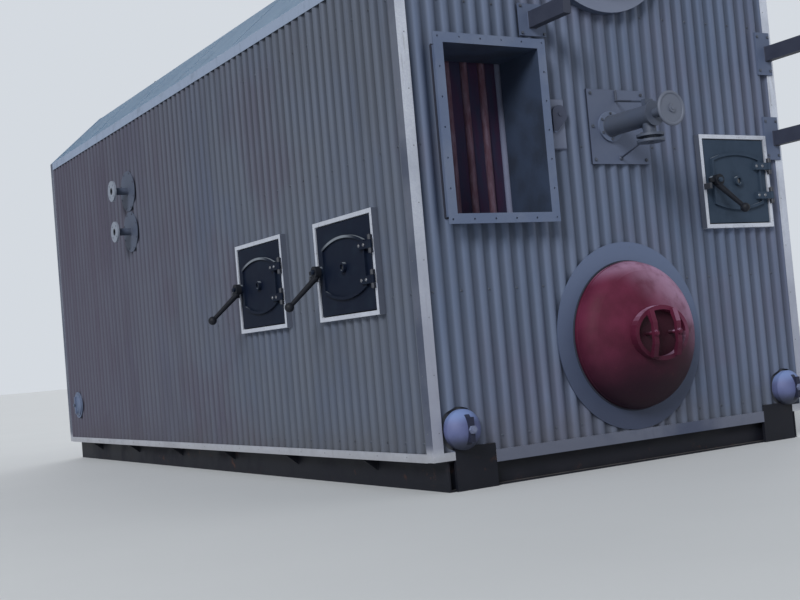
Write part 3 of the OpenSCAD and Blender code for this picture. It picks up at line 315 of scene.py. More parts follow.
def bead(bm, start, end, radius):
    """A run of weld between two places, standing half out of the corner it fills."""
    start, end = Vector(start), Vector(end)
    cylinder(bm, start, end - start, radius, (end - start).length, 8)


black_steel = Finish("skid_black", Specular_IOR_Level=0.25)
dust = black_steel.step(black_steel.noise(0.35, 6), 0.42, 0.75)
rusty_parts = black_steel.step(black_steel.noise(0.8, 2), 0.42, 0.6)
rust = black_steel.step(black_steel.noise(0.09, 8, 0.7), 0.58, 0.68) * rusty_parts
black_steel.base((0.0050, 0.0062, 0.0118), (0.0135, 0.0145, 0.0215), dust)
black_steel.tint((0.11, 0.042, 0.020), rust * 0.5)
# Dust and a painted highlight on what faces up; grime and painted shade on what faces down.
black_steel.weather((0.12, 0.11, 0.105), 0.75, (0.005, 0.005, 0.008), 0.5)
black_steel.done(0.52 + 0.3 * dust, black_steel.noise(0.004, 2) + 0.8 * rust, 0.0004)
dress(black_steel, "skid_runners", "skid_beams", "header_feet")

gusset_first, gusset_step, gussets, gusset_half = -2.855, 1.160, 6, 0.0065
web_x, web_low, web_high = 1.5165, 0.106, 0.185
shelf_z, shelf_in, shelf_out = 0.1855, 1.519, 1.614
gusset_weld = 0.0035
bm = bmesh.new()
for side in (-1, 1):
    for i in range(gussets):
        for face in (-gusset_half, gusset_half):
            y = gusset_first + i * gusset_step + face
            bead(bm, (side * web_x, y, web_low), (side * web_x, y, web_high), gusset_weld)
            bead(bm, (side * shelf_in, y, shelf_z), (side * shelf_out, y, shelf_z), gusset_weld)
link("gusset_welds", bm, black_steel)

# ---------------------------------------------------------------------------
# Wall and floor panels: mineral wool boards behind galvanised sheet, hidden by the
# cladding. They show only at the foot of the casing and round the openings.

# The panels' sheet is coloured far darker than bare zinc: painted shade, as it shows only in shaded gaps.
shaded_backing = Finish("wall_panel", Metallic=0.3)
spangle = Value(shaded_backing.tree, shaded_backing.cells(0.03, "Distance"))
shaded_backing.base((0.040, 0.045, 0.058), (0.075, 0.080, 0.095), spangle)
shaded_backing.done(0.5 + 0.3 * shaded_backing.noise(0.2, 4), shaded_backing.noise(0.05, 3), 0.0008)
dress(shaded_backing, "casing_floor", "front_wall_left", "front_wall_centre", "front_wall_right", "back_wall",
    "left_wall_bands", "left_wall_piers", "right_wall")

# ---------------------------------------------------------------------------
# Cladding: rolled steel sheets with upright round waves, painted blue-grey, lapped
# over one wave at their edges and cut round every opening and round the roof's line.
# Hexagon-headed screws with washers hold them through every second valley.

wave_pitch, wave_depth, sheet_gauge = 0.105, 0.020, 0.0007
steps_a_wave, waves_a_sheet = 14, 8
lap_waves, lap_lift = 0.7, 0.0011
core_x, core_y, ridge_x = 1.599, 3.699, 1.622
sheet_back = 0.003
foot_z, eave_z, top_z, deck_x = 0.190, 3.290, 3.820, 1.025
low_z, up_z = 0.840, 3.600
header_x, header_z = 1.417, 0.368
duct_x, duct_z = -1.015, 2.175
peep_x, peep_z = -0.472, 2.244
front_door_x, front_door_z, front_door_w, front_door_h = 1.100, 1.862, 0.670, 0.660
door_places, door_z, side_door_w, side_door_h = (-2.895, -1.585), 1.440, 0.800, 0.670
gauge_y, gauge_z = 1.235, (2.210, 2.594)
hand_y, hand_z = 3.325, 0.590


def cuboid(bm, low, high, bevel=0.0, turn=None):
    """A block between two corners, its edges rounded by the bevel."""
    low, high = Vector(low), Vector(high)
    size, middle = high - low, (high + low) / 2
    place = Matrix.Translation(middle) @ Matrix.Diagonal((*size, 1))
    verts = bmesh.ops.create_cube(bm, size=1.0, matrix=(turn or Matrix()) @ place)["verts"]
    if bevel:
        edges = {edge for vert in verts for edge in vert.link_edges}
        bmesh.ops.bevel(bm, geom=list(edges), offset=bevel, affect="EDGES", segments=1,
            profile=0.5, material=-1, offset_type="OFFSET")


def wave_sheets(bm, span, low, high):
    """Lapped sheets of upright waves for a wall of that span: X across, outside at -Y."""
    waves = round(span / wave_pitch)
    pitch = span / waves
    for first in range(0, waves, waves_a_sheet):
        count = min(waves_a_sheet + (lap_waves if first + waves_a_sheet < waves else 0), waves - first)
        lift = lap_lift * ((first // waves_a_sheet) % 2)
        steps = round(count * steps_a_wave)
        grid = bmesh.ops.create_grid(bm, x_segments=steps, y_segments=1, size=0.5)["verts"]
        for vert in grid:
            x = (vert.co.x + 0.5) * count * pitch + first * pitch
            depth = wave_depth * (0.5 - 0.5 * math.cos(math.tau * x / pitch))
            vert.co = (x - span / 2, -sheet_back - depth - lift, low + (vert.co.y + 0.5) * (high - low))
        sheet = list({face for vert in grid for face in vert.link_faces})
        bmesh.ops.recalc_face_normals(bm, faces=sheet)
        grown = bmesh.ops.extrude_face_region(bm, geom=sheet)["geom"]
        inner = [vert for vert in grown if isinstance(vert, bmesh.types.BMVert)]
        bmesh.ops.translate(bm, verts=inner, vec=(0, sheet_gauge, 0))
    bmesh.ops.recalc_face_normals(bm, faces=bm.faces)


def cut(bm, cutters):
    """Takes the cutters' blocks and cylinders out of the sheets."""
    def holder(name, source):
        mesh = bpy.data.meshes.new(name)
        source.to_mesh(mesh)
        source.free()
        item = bpy.data.objects.new(name, mesh)
        bpy.context.scene.collection.objects.link(item)
        return item

    whole, tool = holder("whole", bm), holder("tool", cutters)
    modifier = whole.modifiers.new("cut", "BOOLEAN")
    modifier.operation, modifier.solver, modifier.object = "DIFFERENCE", "EXACT", tool
    modifier.use_self = True
    bpy.context.view_layer.update()
    evaluated = whole.evaluated_get(bpy.context.evaluated_depsgraph_get())
    result = bmesh.new()
    result.from_mesh(evaluated.to_mesh())
    evaluated.to_mesh_clear()
    for item in (whole, tool):
        mesh = item.data
        bpy.data.objects.remove(item)
        bpy.data.meshes.remove(mesh)
    return result


saw_in, saw_out = -3.6, -3.9
drum_cut, lagging_cut, header_cut, peep_cut = 0.50, 0.580, 0.136, 0.0305
flue_cut_x, flue_cut_z = 0.373, 0.533
foot_cut_x, foot_cut_z = 0.150, 0.081
foot_x, foot_middle = 1.320, 0.181


def bored(cutters, x, z, radius, sides):
    """A round cutter through the front sheets."""
    cylinder(cutters, (x, saw_in, z), (0, -1, 0), radius, saw_in - saw_out, sides)


def sawn(cutters, x, z, half_x, half_z):
    """A square cutter through the front sheets."""
    cuboid(cutters, (x - half_x, saw_out, z - half_z), (x + half_x, saw_in, z + half_z))


def end_wall(openings):
    """The sheets of an end wall, standing in the front wall's place."""
    bm = bmesh.new()
    wave_sheets(bm, 2 * ridge_x, foot_z, top_z)
    bmesh.ops.translate(bm, verts=bm.verts, vec=(0, -core_y, 0))
    cutters = bmesh.new()
    for side in (-1, 1):
        roof_out = (side * (top_z - eave_z), 0, ridge_x - deck_x)
        above = aimed((side * ridge_x, -core_y, eave_z), roof_out) @ Matrix.Translation((0, 0, 0.5))
        bmesh.ops.create_cube(cutters, size=1.0, matrix=above @ Matrix.Diagonal((2.4, 0.3, 1, 1)))
    bored(cutters, 0, low_z, drum_cut, 64)
    bored(cutters, 0, up_z, lagging_cut, 64)
    for side in (-1, 1):
        bored(cutters, side * header_x, header_z, header_cut, 48)
        sawn(cutters, side * foot_x, foot_middle, foot_cut_x, foot_cut_z)
    openings(cutters)
    return cut(bm, cutters)


def front_openings(cutters):
    sawn(cutters, duct_x, duct_z, flue_cut_x, flue_cut_z)
    sawn(cutters, front_door_x, front_door_z, front_door_w / 2, front_door_h / 2)
    bored(cutters, peep_x, peep_z, peep_cut, 32)


def side_wall(openings):
    """The sheets of a side wall, standing in the left wall's place."""
    bm = bmesh.new()
    wave_sheets(bm, 2 * core_y, foot_z, eave_z)
    place = Matrix.Translation((-core_x, 0, 0)) @ Matrix.Rotation(-math.pi / 2, 4, "Z")
    bmesh.ops.transform(bm, verts=bm.verts, matrix=place)
    cutters = bmesh.new()
    half_y, half_z = side_door_w / 2, side_door_h / 2
    for y in door_places:
        cuboid(cutters, (-1.8, y - half_y, door_z - half_z), (-1.5, y + half_y, door_z + half_z))
    openings(cutters)
    return cut(bm, cutters)


def gauge_openings(cutters):
    for z in gauge_z:
        cylinder(cutters, (-1.5, gauge_y, z), (-1, 0, 0), 0.076, 0.3, 40)


def shade(colour, factor):
    return tuple(factor * part for part in colour)


def coated(name, base, blue, violet, ends):
    """Blue-grey coil coating, with a painted highlight on the waves' ridges and painted shade in their
    valleys. Each sheet has a slight tone of its own, with clouds of tarnish and streaks of rain."""
    finish = Finish(name, Metallic=0.25, Specular_IOR_Level=0.4)
    run, out, core = (finish.x, finish.y, core_y) if ends else (finish.y, finish.x, core_x)
    along = run + (ridge_x if ends else core_y)
    sheet = Value.maths(finish.tree, "FLOOR", along / (wave_pitch * waves_a_sheet))
    tone = finish.node("ShaderNodeTexWhiteNoise", {"noise_dimensions": "1D"}, {"W": sheet})
    tone = Value(finish.tree, tone)
    clouds = finish.noise(0.8, 4)
    finish.base(base, blue, finish.step(clouds, 0.40, 0.66) * 0.8 + tone * 0.2)
    violet_clouds = finish.noise(0.95, 4, shift=(3.1, 4.2, 0.4))
    finish.tint(violet, finish.step(violet_clouds, 0.46, 0.66) * 0.75)
    # On the side walls, a violet cast growing towards the back: painted shade.
    if not ends:
        finish.tint(violet, finish.step(finish.y, -1.6, 3.2) * 0.85)
    # Painted highlight on the waves' ridges, broken up by clouds.
    height = finish.step(abs(out), core + sheet_back + 0.001, core + sheet_back + wave_depth)
    ridge_light = height * finish.step(finish.noise((0.3, 0.3, 1.3), 3), 0.30, 0.62)
    finish.tint(shade(base, 1.30), ridge_light * 0.75)
    rain = finish.noise((0.035, 0.035, 1.8), 5, 0.6)
    # Painted shade in the valleys; on the side walls it grows stronger towards the top.
    valley_shade = finish.step(height, 0.75, 0.0) * (0.55 + 0.45 * clouds)
    if not ends:
        valley_shade = valley_shade * (0.55 + 0.45 * finish.step(finish.z, 1.6, 2.9))
    finish.tint(shade(base, 0.42), valley_shade * 0.75)
    streaks = finish.step(rain, 0.52, 0.74) * finish.step(finish.z, 0.5, 3.2)
    finish.tint(shade(base, 0.60), streaks * 0.35)
    foot = finish.step(finish.z + 0.5 * finish.noise(0.25, 5), 0.80, 0.38)
    finish.tint((0.080, 0.080, 0.088), foot * 0.45)
    scratches = finish.step(finish.noise((0.010, 0.010, 0.16), 5, 0.7), 0.70, 0.76)
    finish.tint((0.17, 0.185, 0.21), scratches * 0.3)
    # On the side walls, darker towards the back: painted shade.
    if not ends:
        finish.tint((0.068, 0.056, 0.084), finish.step(finish.y, -2.2, 3.4) * 0.42)
    dents = finish.noise(0.0035, 2) + 0.5 * finish.noise((0.12, 0.12, 0.9), 2)
    finish.done(0.44 + 0.16 * clouds + 0.12 * foot, dents, 0.0006)
    return finish


# The side walls have the same paint as the ends, but their tones are set darker and greyer: painted shade.
front_tones = (0.104, 0.131, 0.200), (0.096, 0.133, 0.216), (0.108, 0.114, 0.178)
shaded_side_tones = (0.094, 0.110, 0.146), (0.091, 0.114, 0.170), (0.082, 0.075, 0.112)
front_coat = coated("front_coating", *front_tones, True)
shaded_side_coat = coated("side_coating", *shaded_side_tones, False)


def linked_sheets(name, bm, finish):
    return link(name, bm, finish, mend=False)


front_sheets = linked_sheets("front_sheets", end_wall(front_openings), front_coat)
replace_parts(front_sheets, "front_cladding")
turned_sheets = end_wall(lambda cutters: None)
half_turn = Matrix.Rotation(math.pi, 3, "Z")
bmesh.ops.rotate(turned_sheets, verts=turned_sheets.verts, cent=(0, 0, 0), matrix=half_turn)
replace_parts(linked_sheets("back_sheets", turned_sheets, front_coat), "back_cladding")
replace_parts(linked_sheets("left_sheets", side_wall(gauge_openings), shaded_side_coat), "left_cladding")
turned_sheets = side_wall(lambda cutters: None)
bmesh.ops.scale(turned_sheets, verts=turned_sheets.verts, vec=(-1, 1, 1))
bmesh.ops.reverse_faces(turned_sheets, faces=turned_sheets.faces)
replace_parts(linked_sheets("right_sheets", turned_sheets, shaded_side_coat), "right_cladding")

plated = Finish("plated_screws", Metallic=0.65)
spots = plated.step(plated.noise(0.006, 6), 0.45, 0.65)
plated.base((0.22, 0.24, 0.28), (0.10, 0.085, 0.080), spots)
plated.done(0.40 + 0.3 * spots, plated.noise(0.0015, 2), 0.0002)

screw_paint = Finish("painted_screws", Metallic=0.2)
spots = screw_paint.step(screw_paint.noise(0.02, 5), 0.45, 0.65)
screw_paint.base((0.078, 0.094, 0.130), (0.050, 0.056, 0.072), spots)
screw_paint.done(0.45 + 0.3 * spots, screw_paint.noise(0.002, 2), 0.0002)


screw_levels = (0.30, 1.20, 2.10, 3.00)
front_fittings = (
    ((-1.46, 1.57), (-0.57, 2.78)),  # flue duct
    ((0.74, 1.50), (1.46, 2.22)),  # cleaning door
    ((-0.23, 1.95), (0.33, 2.51)),  # soot blower
    ((-0.53, 2.04), (-0.38, 2.43)),  # peephole
    ((-0.72, 2.78), (-0.47, 3.04)),  # upper bracket
    ((1.43, 2.00), (1.60, 2.99)),  # corner brackets
)


def on_end(x, z, front):
    """True where a screw has room in an end wall's sheets."""
    slope = eave_z + (ridge_x - abs(x)) * (top_z - eave_z) / (ridge_x - deck_x)
    free = abs(x) < 1.535 and z < slope - 0.10 and math.hypot(x, z - low_z) > 0.64
    free = free and math.hypot(x, z - up_z) > 0.63 and not (abs(x) > 1.15 and z < 0.52)
    for low, high in front_fittings if front else ():
        free = free and not (low[0] < x < high[0] and low[1] < z < high[1])
    return free


def on_side(y, z, left):
    """True where a screw has room in a side wall's sheets."""
    free = abs(y) < 3.63 and math.hypot(y - hand_y, z - hand_z) > 0.16
    for place in door_places:
        free = free and not (abs(y - place) < 0.43 and abs(z - door_z) < 0.37)
    return free and not (left and abs(y - gauge_y) < 0.20 and 2.00 < z < 2.80)


washer_r, washer_h, washer_top = 0.0085, 0.0026, 0.0065
head_r, head_h, sunk = 0.0048, 0.0042, 0.0002
bm = bmesh.new()
for quarter, face, span, free in (
    (0, core_y, 2 * ridge_x, lambda x, z: on_end(x, z, True)),
    (2, core_y, 2 * ridge_x, lambda x, z: on_end(x, z, False)),
    (3, core_x, 2 * core_y, lambda x, z: on_side(-x, z, True)),
    (1, core_x, 2 * core_y, lambda x, z: on_side(x, z, False)),
):
    turn = Matrix.Rotation(quarter * math.pi / 2, 3, "Z")
    waves = round(span / wave_pitch)
    axis = turn @ Vector((0, -1, 0))
    for k in range(1, waves, 2):
        x = k * span / waves - span / 2
        for z in (level for level in screw_levels if free(x, level)):
            place = turn @ Vector((x, -face - sheet_back - 0.0010, z))
            cylinder(bm, place, axis, washer_r, washer_h, 10, washer_top)
            cylinder(bm, place + axis * (washer_h - sunk), axis, head_r, head_h, 6)
link("sheet_screws", bm, screw_paint)

# ---------------------------------------------------------------------------
# Trims: bright galvanised angles folded from flat sheet, along the corners, the foot
# of the walls and the roof's edges, held by pop rivets.


def turned(bm, place, axis, profile, steps=32, arc=None, start=0.0):
    """Spins a profile of (radius, height) points round the axis, as a lathe would. An
    outline that ends on the axis stays open there; an arc gets flat ends."""
    lathe = aimed(place, axis) @ Matrix.Rotation(start, 4, "Z")
    verts = [bm.verts.new(lathe @ Vector((radius, 0, height))) for radius, height in profile]
    pairs = list(zip(verts, verts[1:]))
    if profile[0][0] or profile[-1][0]:
        pairs.append((verts[-1], verts[0]))
    geom = verts + [bm.edges.new(pair) for pair in pairs]
    if arc:
        geom.append(bm.faces.new(verts))
    bmesh.ops.spin(bm, geom=geom, cent=place, axis=axis, angle=arc or math.tau, steps=steps,
        use_merge=not arc)


def hoop(bm, place, axis, radius, wire, steps=64, sides=8):
    """A ring of round wire, rope or weld about the axis."""
    angles = [math.tau * i / sides for i in range(sides)]
    profile = [(radius + wire * math.cos(angle), wire * math.sin(angle)) for angle in angles]
    turned(bm, place, axis, profile, steps)


rivet_r = 0.0042
rivet_dome = [(0.0, 0.0012), (rivet_r * 0.35, 0.0018), (rivet_r * 0.8, 0.0014), (rivet_r, 0.0),
    (0.0, -0.0004)]


def rivet(bm, place, axis):
    """A pop rivet's low dome with its pulled stem."""
    turned(bm, place, axis, rivet_dome, 8)


zinc = Finish("bright_trim", Metallic=0.55)
crystals = {"Color": zinc.cells(0.009, "Color")}
spangle = Value(zinc.tree, zinc.node("ShaderNodeSeparateColor", None, crystals, "Red"))
tarnish = zinc.step(zinc.noise(0.5, 4), 0.42, 0.70)
zinc.base((0.58, 0.62, 0.73), (0.67, 0.71, 0.80), spangle)
zinc.tint((0.36, 0.39, 0.47), tarnish * 0.5)
stains = zinc.step(zinc.noise((0.05, 0.05, 0.4), 6, 0.65), 0.56, 0.72)
zinc.tint((0.25, 0.25, 0.27), stains * 0.5)
foot_dirt = zinc.step(zinc.z + 0.12 * zinc.noise(0.08, 5), 0.42, 0.24)
zinc.tint((0.35, 0.34, 0.35), foot_dirt * 0.58)
# Painted shade: the trims grow darker from about 2.3 m down towards the foot.
lower_corner_shade = zinc.step(zinc.z + 0.4 * zinc.noise((0.2, 0.2, 0.7), 4), 2.3, 0.7)
lower_corner_shade = lower_corner_shade * zinc.z.over(0.25, 0.05)
zinc.tint((0.30, 0.315, 0.40), lower_corner_shade * 0.75)
end_foot = abs(zinc.y).over(3.7240, 0.0004) * zinc.z.under(0.236) * abs(zinc.x).under(1.20, 0.02)
zinc.tint((0.062, 0.078, 0.138), end_foot * (0.80 + 0.15 * tarnish))
# Painted shade: the side leg of each corner angle takes the cladding's dark tone, while its front leg stays
# bright.
side_leg_shade = abs(zinc.x).over(1.6244, 0.0002) * zinc.z.over(0.27, 0.05) * abs(zinc.y).over(3.64, 0.001)
zinc.tint((0.085, 0.102, 0.155), side_leg_shade * (0.84 + 0.14 * tarnish))
folds = zinc.noise(0.3, 3) + 0.05 * zinc.noise(0.01, 2)
zinc.done(0.36 + 0.08 * spangle + 0.20 * tarnish, folds, 0.003)
dress(zinc, "wall_trims")

half_w, half_l = 1.625, 3.725
corner_levels = [0.36 + i * 0.345 for i in range(9)]
side_edge, end_edge, eave_cover = 0.048, 0.052, 3.2
foot_rivets = [-3.42 + i * 0.36 for i in range(20)]
foot_rivet_z = 0.216
bm = bmesh.new()
for side in (-1, 1):
    for end in (-1, 1):
        for z in corner_levels:
            rivet(bm, (side * half_w, end * (half_l - side_edge), z), (side, 0, 0))
            if z < eave_cover:
                rivet(bm, (side * (half_w - end_edge), end * half_l, z), (0, end, 0))
    for y in foot_rivets:
        rivet(bm, (side * half_w, y, foot_rivet_z), (side, 0, 0))
link("trim_rivets", bm, plated)

# ---------------------------------------------------------------------------
# Roof: smooth painted sheet on the two slopes, the deck and round the upper drum, with
# riveted strips over its joints and steel bands drawn tight round the drum's lagging.

roof_coat = Finish("roof_sheet", Specular_IOR_Level=0.06)
clouds = roof_coat.noise(0.9, 5)
roof_coat.base((0.108, 0.176, 0.270), (0.140, 0.212, 0.305), clouds)
grime = roof_coat.step(roof_coat.noise(0.20, 6, 0.65), 0.52, 0.75)
# Painted highlight: the upright legs of the roof trims are made paler than the slopes.
upright_leg_highlight = abs(roof_coat.x).over(1.6222, 0.0004) + abs(roof_coat.y).over(3.7222, 0.0004)
roof_coat.tint((0.265, 0.320, 0.425), upright_leg_highlight.clamped())
roof_coat.tint((0.100, 0.130, 0.165), grime * 0.35)
run_off = roof_coat.step(roof_coat.noise((0.5, 0.03, 0.5), 5, 0.6), 0.55, 0.75)
roof_coat.tint((0.090, 0.115, 0.145), run_off * 0.3)
roof_coat.done(0.66 + 0.20 * grime, roof_coat.noise(0.4, 2), 0.006)
dress(roof_coat, "roof_slopes", "roof_deck", "drum_lagging", "roof_trims")

lug_y = 2.40
lap_places = (-lug_y, -1.20, 0.0, 1.20, lug_y)
slope_x, slope_z, slope_out = 1.3235, 3.555, (0.6639, 0.7478)
strip_half, strip_gauge, strip_sunk, strip_bevel = 0.030, 0.0018, 0.001, 0.0006
slope_half, deck_strip_x, deck_strip_half = 0.335, 0.832, 0.14
bm = bmesh.new()
rivets = bmesh.new()
for side in (-1, 1):
    out = (side * slope_out[0], 0, slope_out[1])
    slope = aimed((side * slope_x, 0, slope_z), out)
    for y in lap_places:
        low = Vector((-slope_half, y - strip_half, -strip_sunk))
        high = Vector((slope_half, y + strip_half, strip_gauge))
        cuboid(bm, low, high, strip_bevel, slope)
        if abs(y) != lug_y:
            low = (side * deck_strip_x - deck_strip_half, y - strip_half, top_z - strip_sunk)
            high = (side * deck_strip_x + deck_strip_half, y + strip_half, top_z + strip_gauge)
            cuboid(bm, low, high, strip_bevel)
        for i in range(7):
            for edge in (-0.019, 0.019):
                rivet(rivets, slope @ Vector((-0.30 + i * 0.1, y + edge, strip_gauge)), out)
link("roof_strips", bm, roof_coat)
link("roof_rivets", rivets, plated)

band_places = (-3.42, -2.50, -1.55, -0.42, 0.52, 1.60, 2.50, 3.42)
band_in, band_out, band_half = 0.6095, 0.6120, 0.016
deck_angle = 21.9
hoop_iron = [(band_in, -band_half), (band_out, -band_half), (band_out, band_half), (band_in, band_half)]
bm = bmesh.new()
for y in band_places:
    turned(bm, (0, y, up_z), (0, -1, 0), hoop_iron, 72, math.radians(180 - 2 * deck_angle),
        math.radians(deck_angle))
    cuboid(bm, (-0.035, y - 0.019, up_z + 0.608), (0.035, y + 0.019, up_z + 0.6155), 0.002)
link("lagging_bands", bm, zinc)

# ---------------------------------------------------------------------------
# Drums: rolled shells with dished heads, in red enamel that has faded on top, with a painted highlight
# towards the top and right and painted shade low down and in the manhole recesses. The manholes' covers hang
# on studs through two forged yokes each, drawn up by nuts.

def nut(bm, place, axis, across, thick, washer=0.0):
    """A hexagon nut with its corners taken off, on a washer if one is given."""
    start = Vector(place)
    axis = Vector(axis).normalized()
    if washer:
        cylinder(bm, start, axis, across * 1.28, washer, 20)
        start = start + axis * washer
    cylinder(bm, start, axis, across * 1.12, thick * 0.86, 6)
    cylinder(bm, start + axis * thick * 0.86, axis, across * 1.05, thick * 0.14, 6, across * 0.93)


red_enamel = Finish("drum_red", Specular_IOR_Level=0.18)
fade = red_enamel.noise(0.22, 5)
red_enamel.base((0.073, 0.009, 0.026), (0.107, 0.015, 0.041), red_enamel.step(fade, 0.35, 0.7))
# Paler towards the top and the right: faded enamel, and a painted highlight.
leaning = 0.62 * red_enamel.upward + 0.96 * red_enamel.x
faded_and_highlight = red_enamel.step(leaning, 0.06, 0.60)
faded_and_highlight = faded_and_highlight * red_enamel.step(red_enamel.noise(0.16, 4), 0.18, 0.60)
red_enamel.tint((0.400, 0.245, 0.375), faded_and_highlight * 0.92)
# Painted shade: darker towards the bottom.
painted_low_shade = red_enamel.step(red_enamel.z + 0.12 * fade, 1.02, 0.52)
red_enamel.tint((0.011, 0.003, 0.009), painted_low_shade * 0.93)
# Painted shade in the manhole recesses.
recess_shade = abs(red_enamel.y).over(3.95) * abs(red_enamel.y).under(4.0180)
for z in (low_z, up_z):
    oval = (red_enamel.x / 0.196) ** 2.0 + ((red_enamel.z - z) / 0.147) ** 2.0
    red_enamel.tint((0.024, 0.006, 0.012), recess_shade * oval.under(1.0, 0.01) * 0.85)
scuffs = red_enamel.step(red_enamel.noise(0.03, 7, 0.7), 0.62, 0.72)
red_enamel.tint((0.075, 0.030, 0.028), scuffs * 0.5)
brushed = red_enamel.noise(0.006, 3) + 0.4 * red_enamel.noise(0.15, 2)
red_enamel.done(0.48 + 0.25 * fade, brushed, 0.0008)
dress(red_enamel, "lower_drum", "upper_drum", "manhole_covers", "manhole_yokes")

stud_x, yoke_y = 0.1, 4.0699
bm = bmesh.new()
for end in (-1, 1):
    for z in (low_z, up_z):
        for x in (-stud_x, stud_x):
            nut(bm, (x, end * yoke_y, z), (0, end, 0), 0.0180, 0.0100, 0.0020)
link("manhole_nuts", bm, red_enamel)

drum_r, seam_y, seam_weld = 0.4855, 3.759, 0.0035
bm = bmesh.new()
for end in (-1, 1):
    hoop(bm, (0, end * seam_y, low_z), (0, end, 0), drum_r, seam_weld, 96)
link("head_seams", bm, red_enamel)

# A dark blue-black rope: the seals' own colour, darkened further as painted shade for the gaps they fill.
sealant_and_shade = Finish("rope_seal_and_shade")
strands = sealant_and_shade.noise(0.010, 4, 0.6)
sealant_and_shade.base((0.010, 0.013, 0.026), (0.022, 0.026, 0.046), strands)
sealant_and_shade.done(0.75 + 0.2 * strands, strands, 0.0015)
# The rope round each drum head sits in the gap between ring and head, drawn dark as a painted shadow line.
seal_r, low_seal_y, up_seal_y = 0.4910, 3.7315, 3.7825
bm = bmesh.new()
for end in (-1, 1):
    hoop(bm, (0, end * low_seal_y, low_z), (0, end, 0), seal_r, 0.0065, 96)
    hoop(bm, (0, end * up_seal_y, up_z), (0, end, 0), seal_r, 0.0050, 96)
link("drum_seals_and_shade", bm, sealant_and_shade)

# ---------------------------------------------------------------------------
# Wall rings, flue duct, nozzles, soot blower and peephole: plate, pipe and castings in the same blue-grey
# brush paint, chipped at its edges, with grime and painted shade on what faces down, and painted shade
# inside the duct, on the plate's edges, down the bores and at the lower ring's foot.

blower_x, blower_z = -0.025, 2.230


def bead_round(bm, centre, half_x, half_z, radius, place=Matrix()):
    """Runs of weld or rope along the four edges of an upright rectangle."""
    for x0, z0, x1, z1 in ((-1, -1, 1, -1), (-1, 1, 1, 1), (-1, -1, -1, 1), (1, -1, 1, 1)):
        start = Vector(centre) + Vector((x0 * half_x, 0, z0 * half_z))
        end = Vector(centre) + Vector((x1 * half_x, 0, z1 * half_z))
        bead(bm, place @ start, place @ end, radius)


grey_paint = Finish("grey_paint", Metallic=0.12, Specular_IOR_Level=0.4)
clouds = grey_paint.noise(0.30, 5)
grey_paint.base((0.106, 0.142, 0.236), (0.136, 0.170, 0.256), grey_paint.step(clouds, 0.35, 0.65))
ring = grey_paint.inside((-0.63, None, 0.20), (0.63, None, 1.47))
ring = ring * abs(grey_paint.y).over(3.715) * abs(grey_paint.y).under(3.745)
# Painted shade: the lower wall ring darker towards its bottom.
ring_height = grey_paint.step(grey_paint.z + 0.25 * clouds, 0.35, 1.55)
ring_shade_tone = grey_paint.mixed((0.040, 0.052, 0.096), (0.112, 0.150, 0.250), ring_height)
grey_paint.tint(ring_shade_tone, ring)
# Dust and a painted highlight on what faces up; grime and painted shade on what faces down.
grey_paint.weather((0.17, 0.20, 0.27), 0.25, (0.030, 0.040, 0.066), 0.80)
bore_x, bore_z = 0.3606, 0.5206
# Inside the flue duct: soot, darkened further as painted shade.
duct_soot_and_shade = grey_paint.inside((duct_x - bore_x, -3.832, duct_z - bore_z),
    (duct_x + bore_x, None, duct_z + bore_z))
soot_clouds = grey_paint.step(grey_paint.noise(0.25, 5), 0.40, 0.70)
soot = grey_paint.mixed((0.040, 0.059, 0.105), (0.028, 0.038, 0.062), soot_clouds)
grey_paint.tint(soot, duct_soot_and_shade)
barrel = grey_paint.inside((-0.14, -4.40, 2.05), (0.10, -3.7535, 2.40)) * (0.55 + 0.35 * clouds)
grey_paint.tint((0.056, 0.066, 0.090), barrel)
wheel = grey_paint.inside((-0.15, -4.34, 2.10), (0.12, -4.25, 2.36))
grey_paint.tint((0.124, 0.142, 0.190), wheel * 0.9)
upper_ring = grey_paint.z.over(2.98, 0.01) * grey_paint.y.under(-3.7810)
upper_ring = upper_ring * grey_paint.y.over(-3.79)
grey_paint.tint((0.170, 0.195, 0.270), upper_ring * 0.8)
plate_face = grey_paint.inside((-0.2005, -3.7375, 1.975), (0.3005, -3.7357, 2.485))
grey_paint.tint((0.136, 0.166, 0.258), plate_face * (0.55 + 0.4 * clouds))
# Painted shade on the blower plate's edges.
plate_edge_shade = grey_paint.inside((-0.2010, -3.7358, 1.97), (0.301, -3.7221, 2.481))
grey_paint.tint((0.022, 0.028, 0.048), plate_edge_shade)
trip = grey_paint.inside((0.00, -4.10, 2.33), (0.10, -3.7375, 2.49))
trip = trip + grey_paint.inside((0.00, -4.05, 1.99), (0.08, -3.7375, 2.05))
grey_paint.tint((0.030, 0.034, 0.048), trip * 0.7)
pipes = grey_paint.inside((-1.7650, 1.16, 2.10), (-1.6290, 1.31, 2.70))
grey_paint.tint((0.050, 0.062, 0.092), pipes * 0.7)
roses = grey_paint.inside((-1.6600, 1.03, 2.00), (-1.6150, 1.44, 2.80))
grey_paint.tint((0.066, 0.080, 0.118), roses * (0.60 + 0.35 * clouds))
cover = grey_paint.inside((-0.53, None, 2.19), (-0.39, -3.7370, 2.36)) * grey_paint.y.under(-3.7370)
grey_paint.tint((0.040, 0.046, 0.078), cover * (0.65 + 0.35 * clouds))
chips = grey_paint.step(grey_paint.noise(0.02, 8, 0.7), 0.64, 0.70)
grey_paint.tint((0.070, 0.050, 0.046), chips * 0.5)
gauge_face = grey_paint.inside((None, 1.10, 2.05), (-1.7655, 1.37, 2.75))
grey_paint.tint((0.25, 0.28, 0.34), gauge_face * 0.9)
for z in gauge_z:
    # Painted shade down the gauge nozzles' bores.
    bore_shade = ((grey_paint.y - gauge_y) ** 2.0 + (grey_paint.z - z) ** 2.0) ** 0.5
    grey_paint.tint((0.014, 0.017, 0.026), bore_shade.under(0.0325, 0.002) * gauge_face)
brushed = grey_paint.noise(0.004, 3) + 0.6 * grey_paint.noise(0.05, 2)
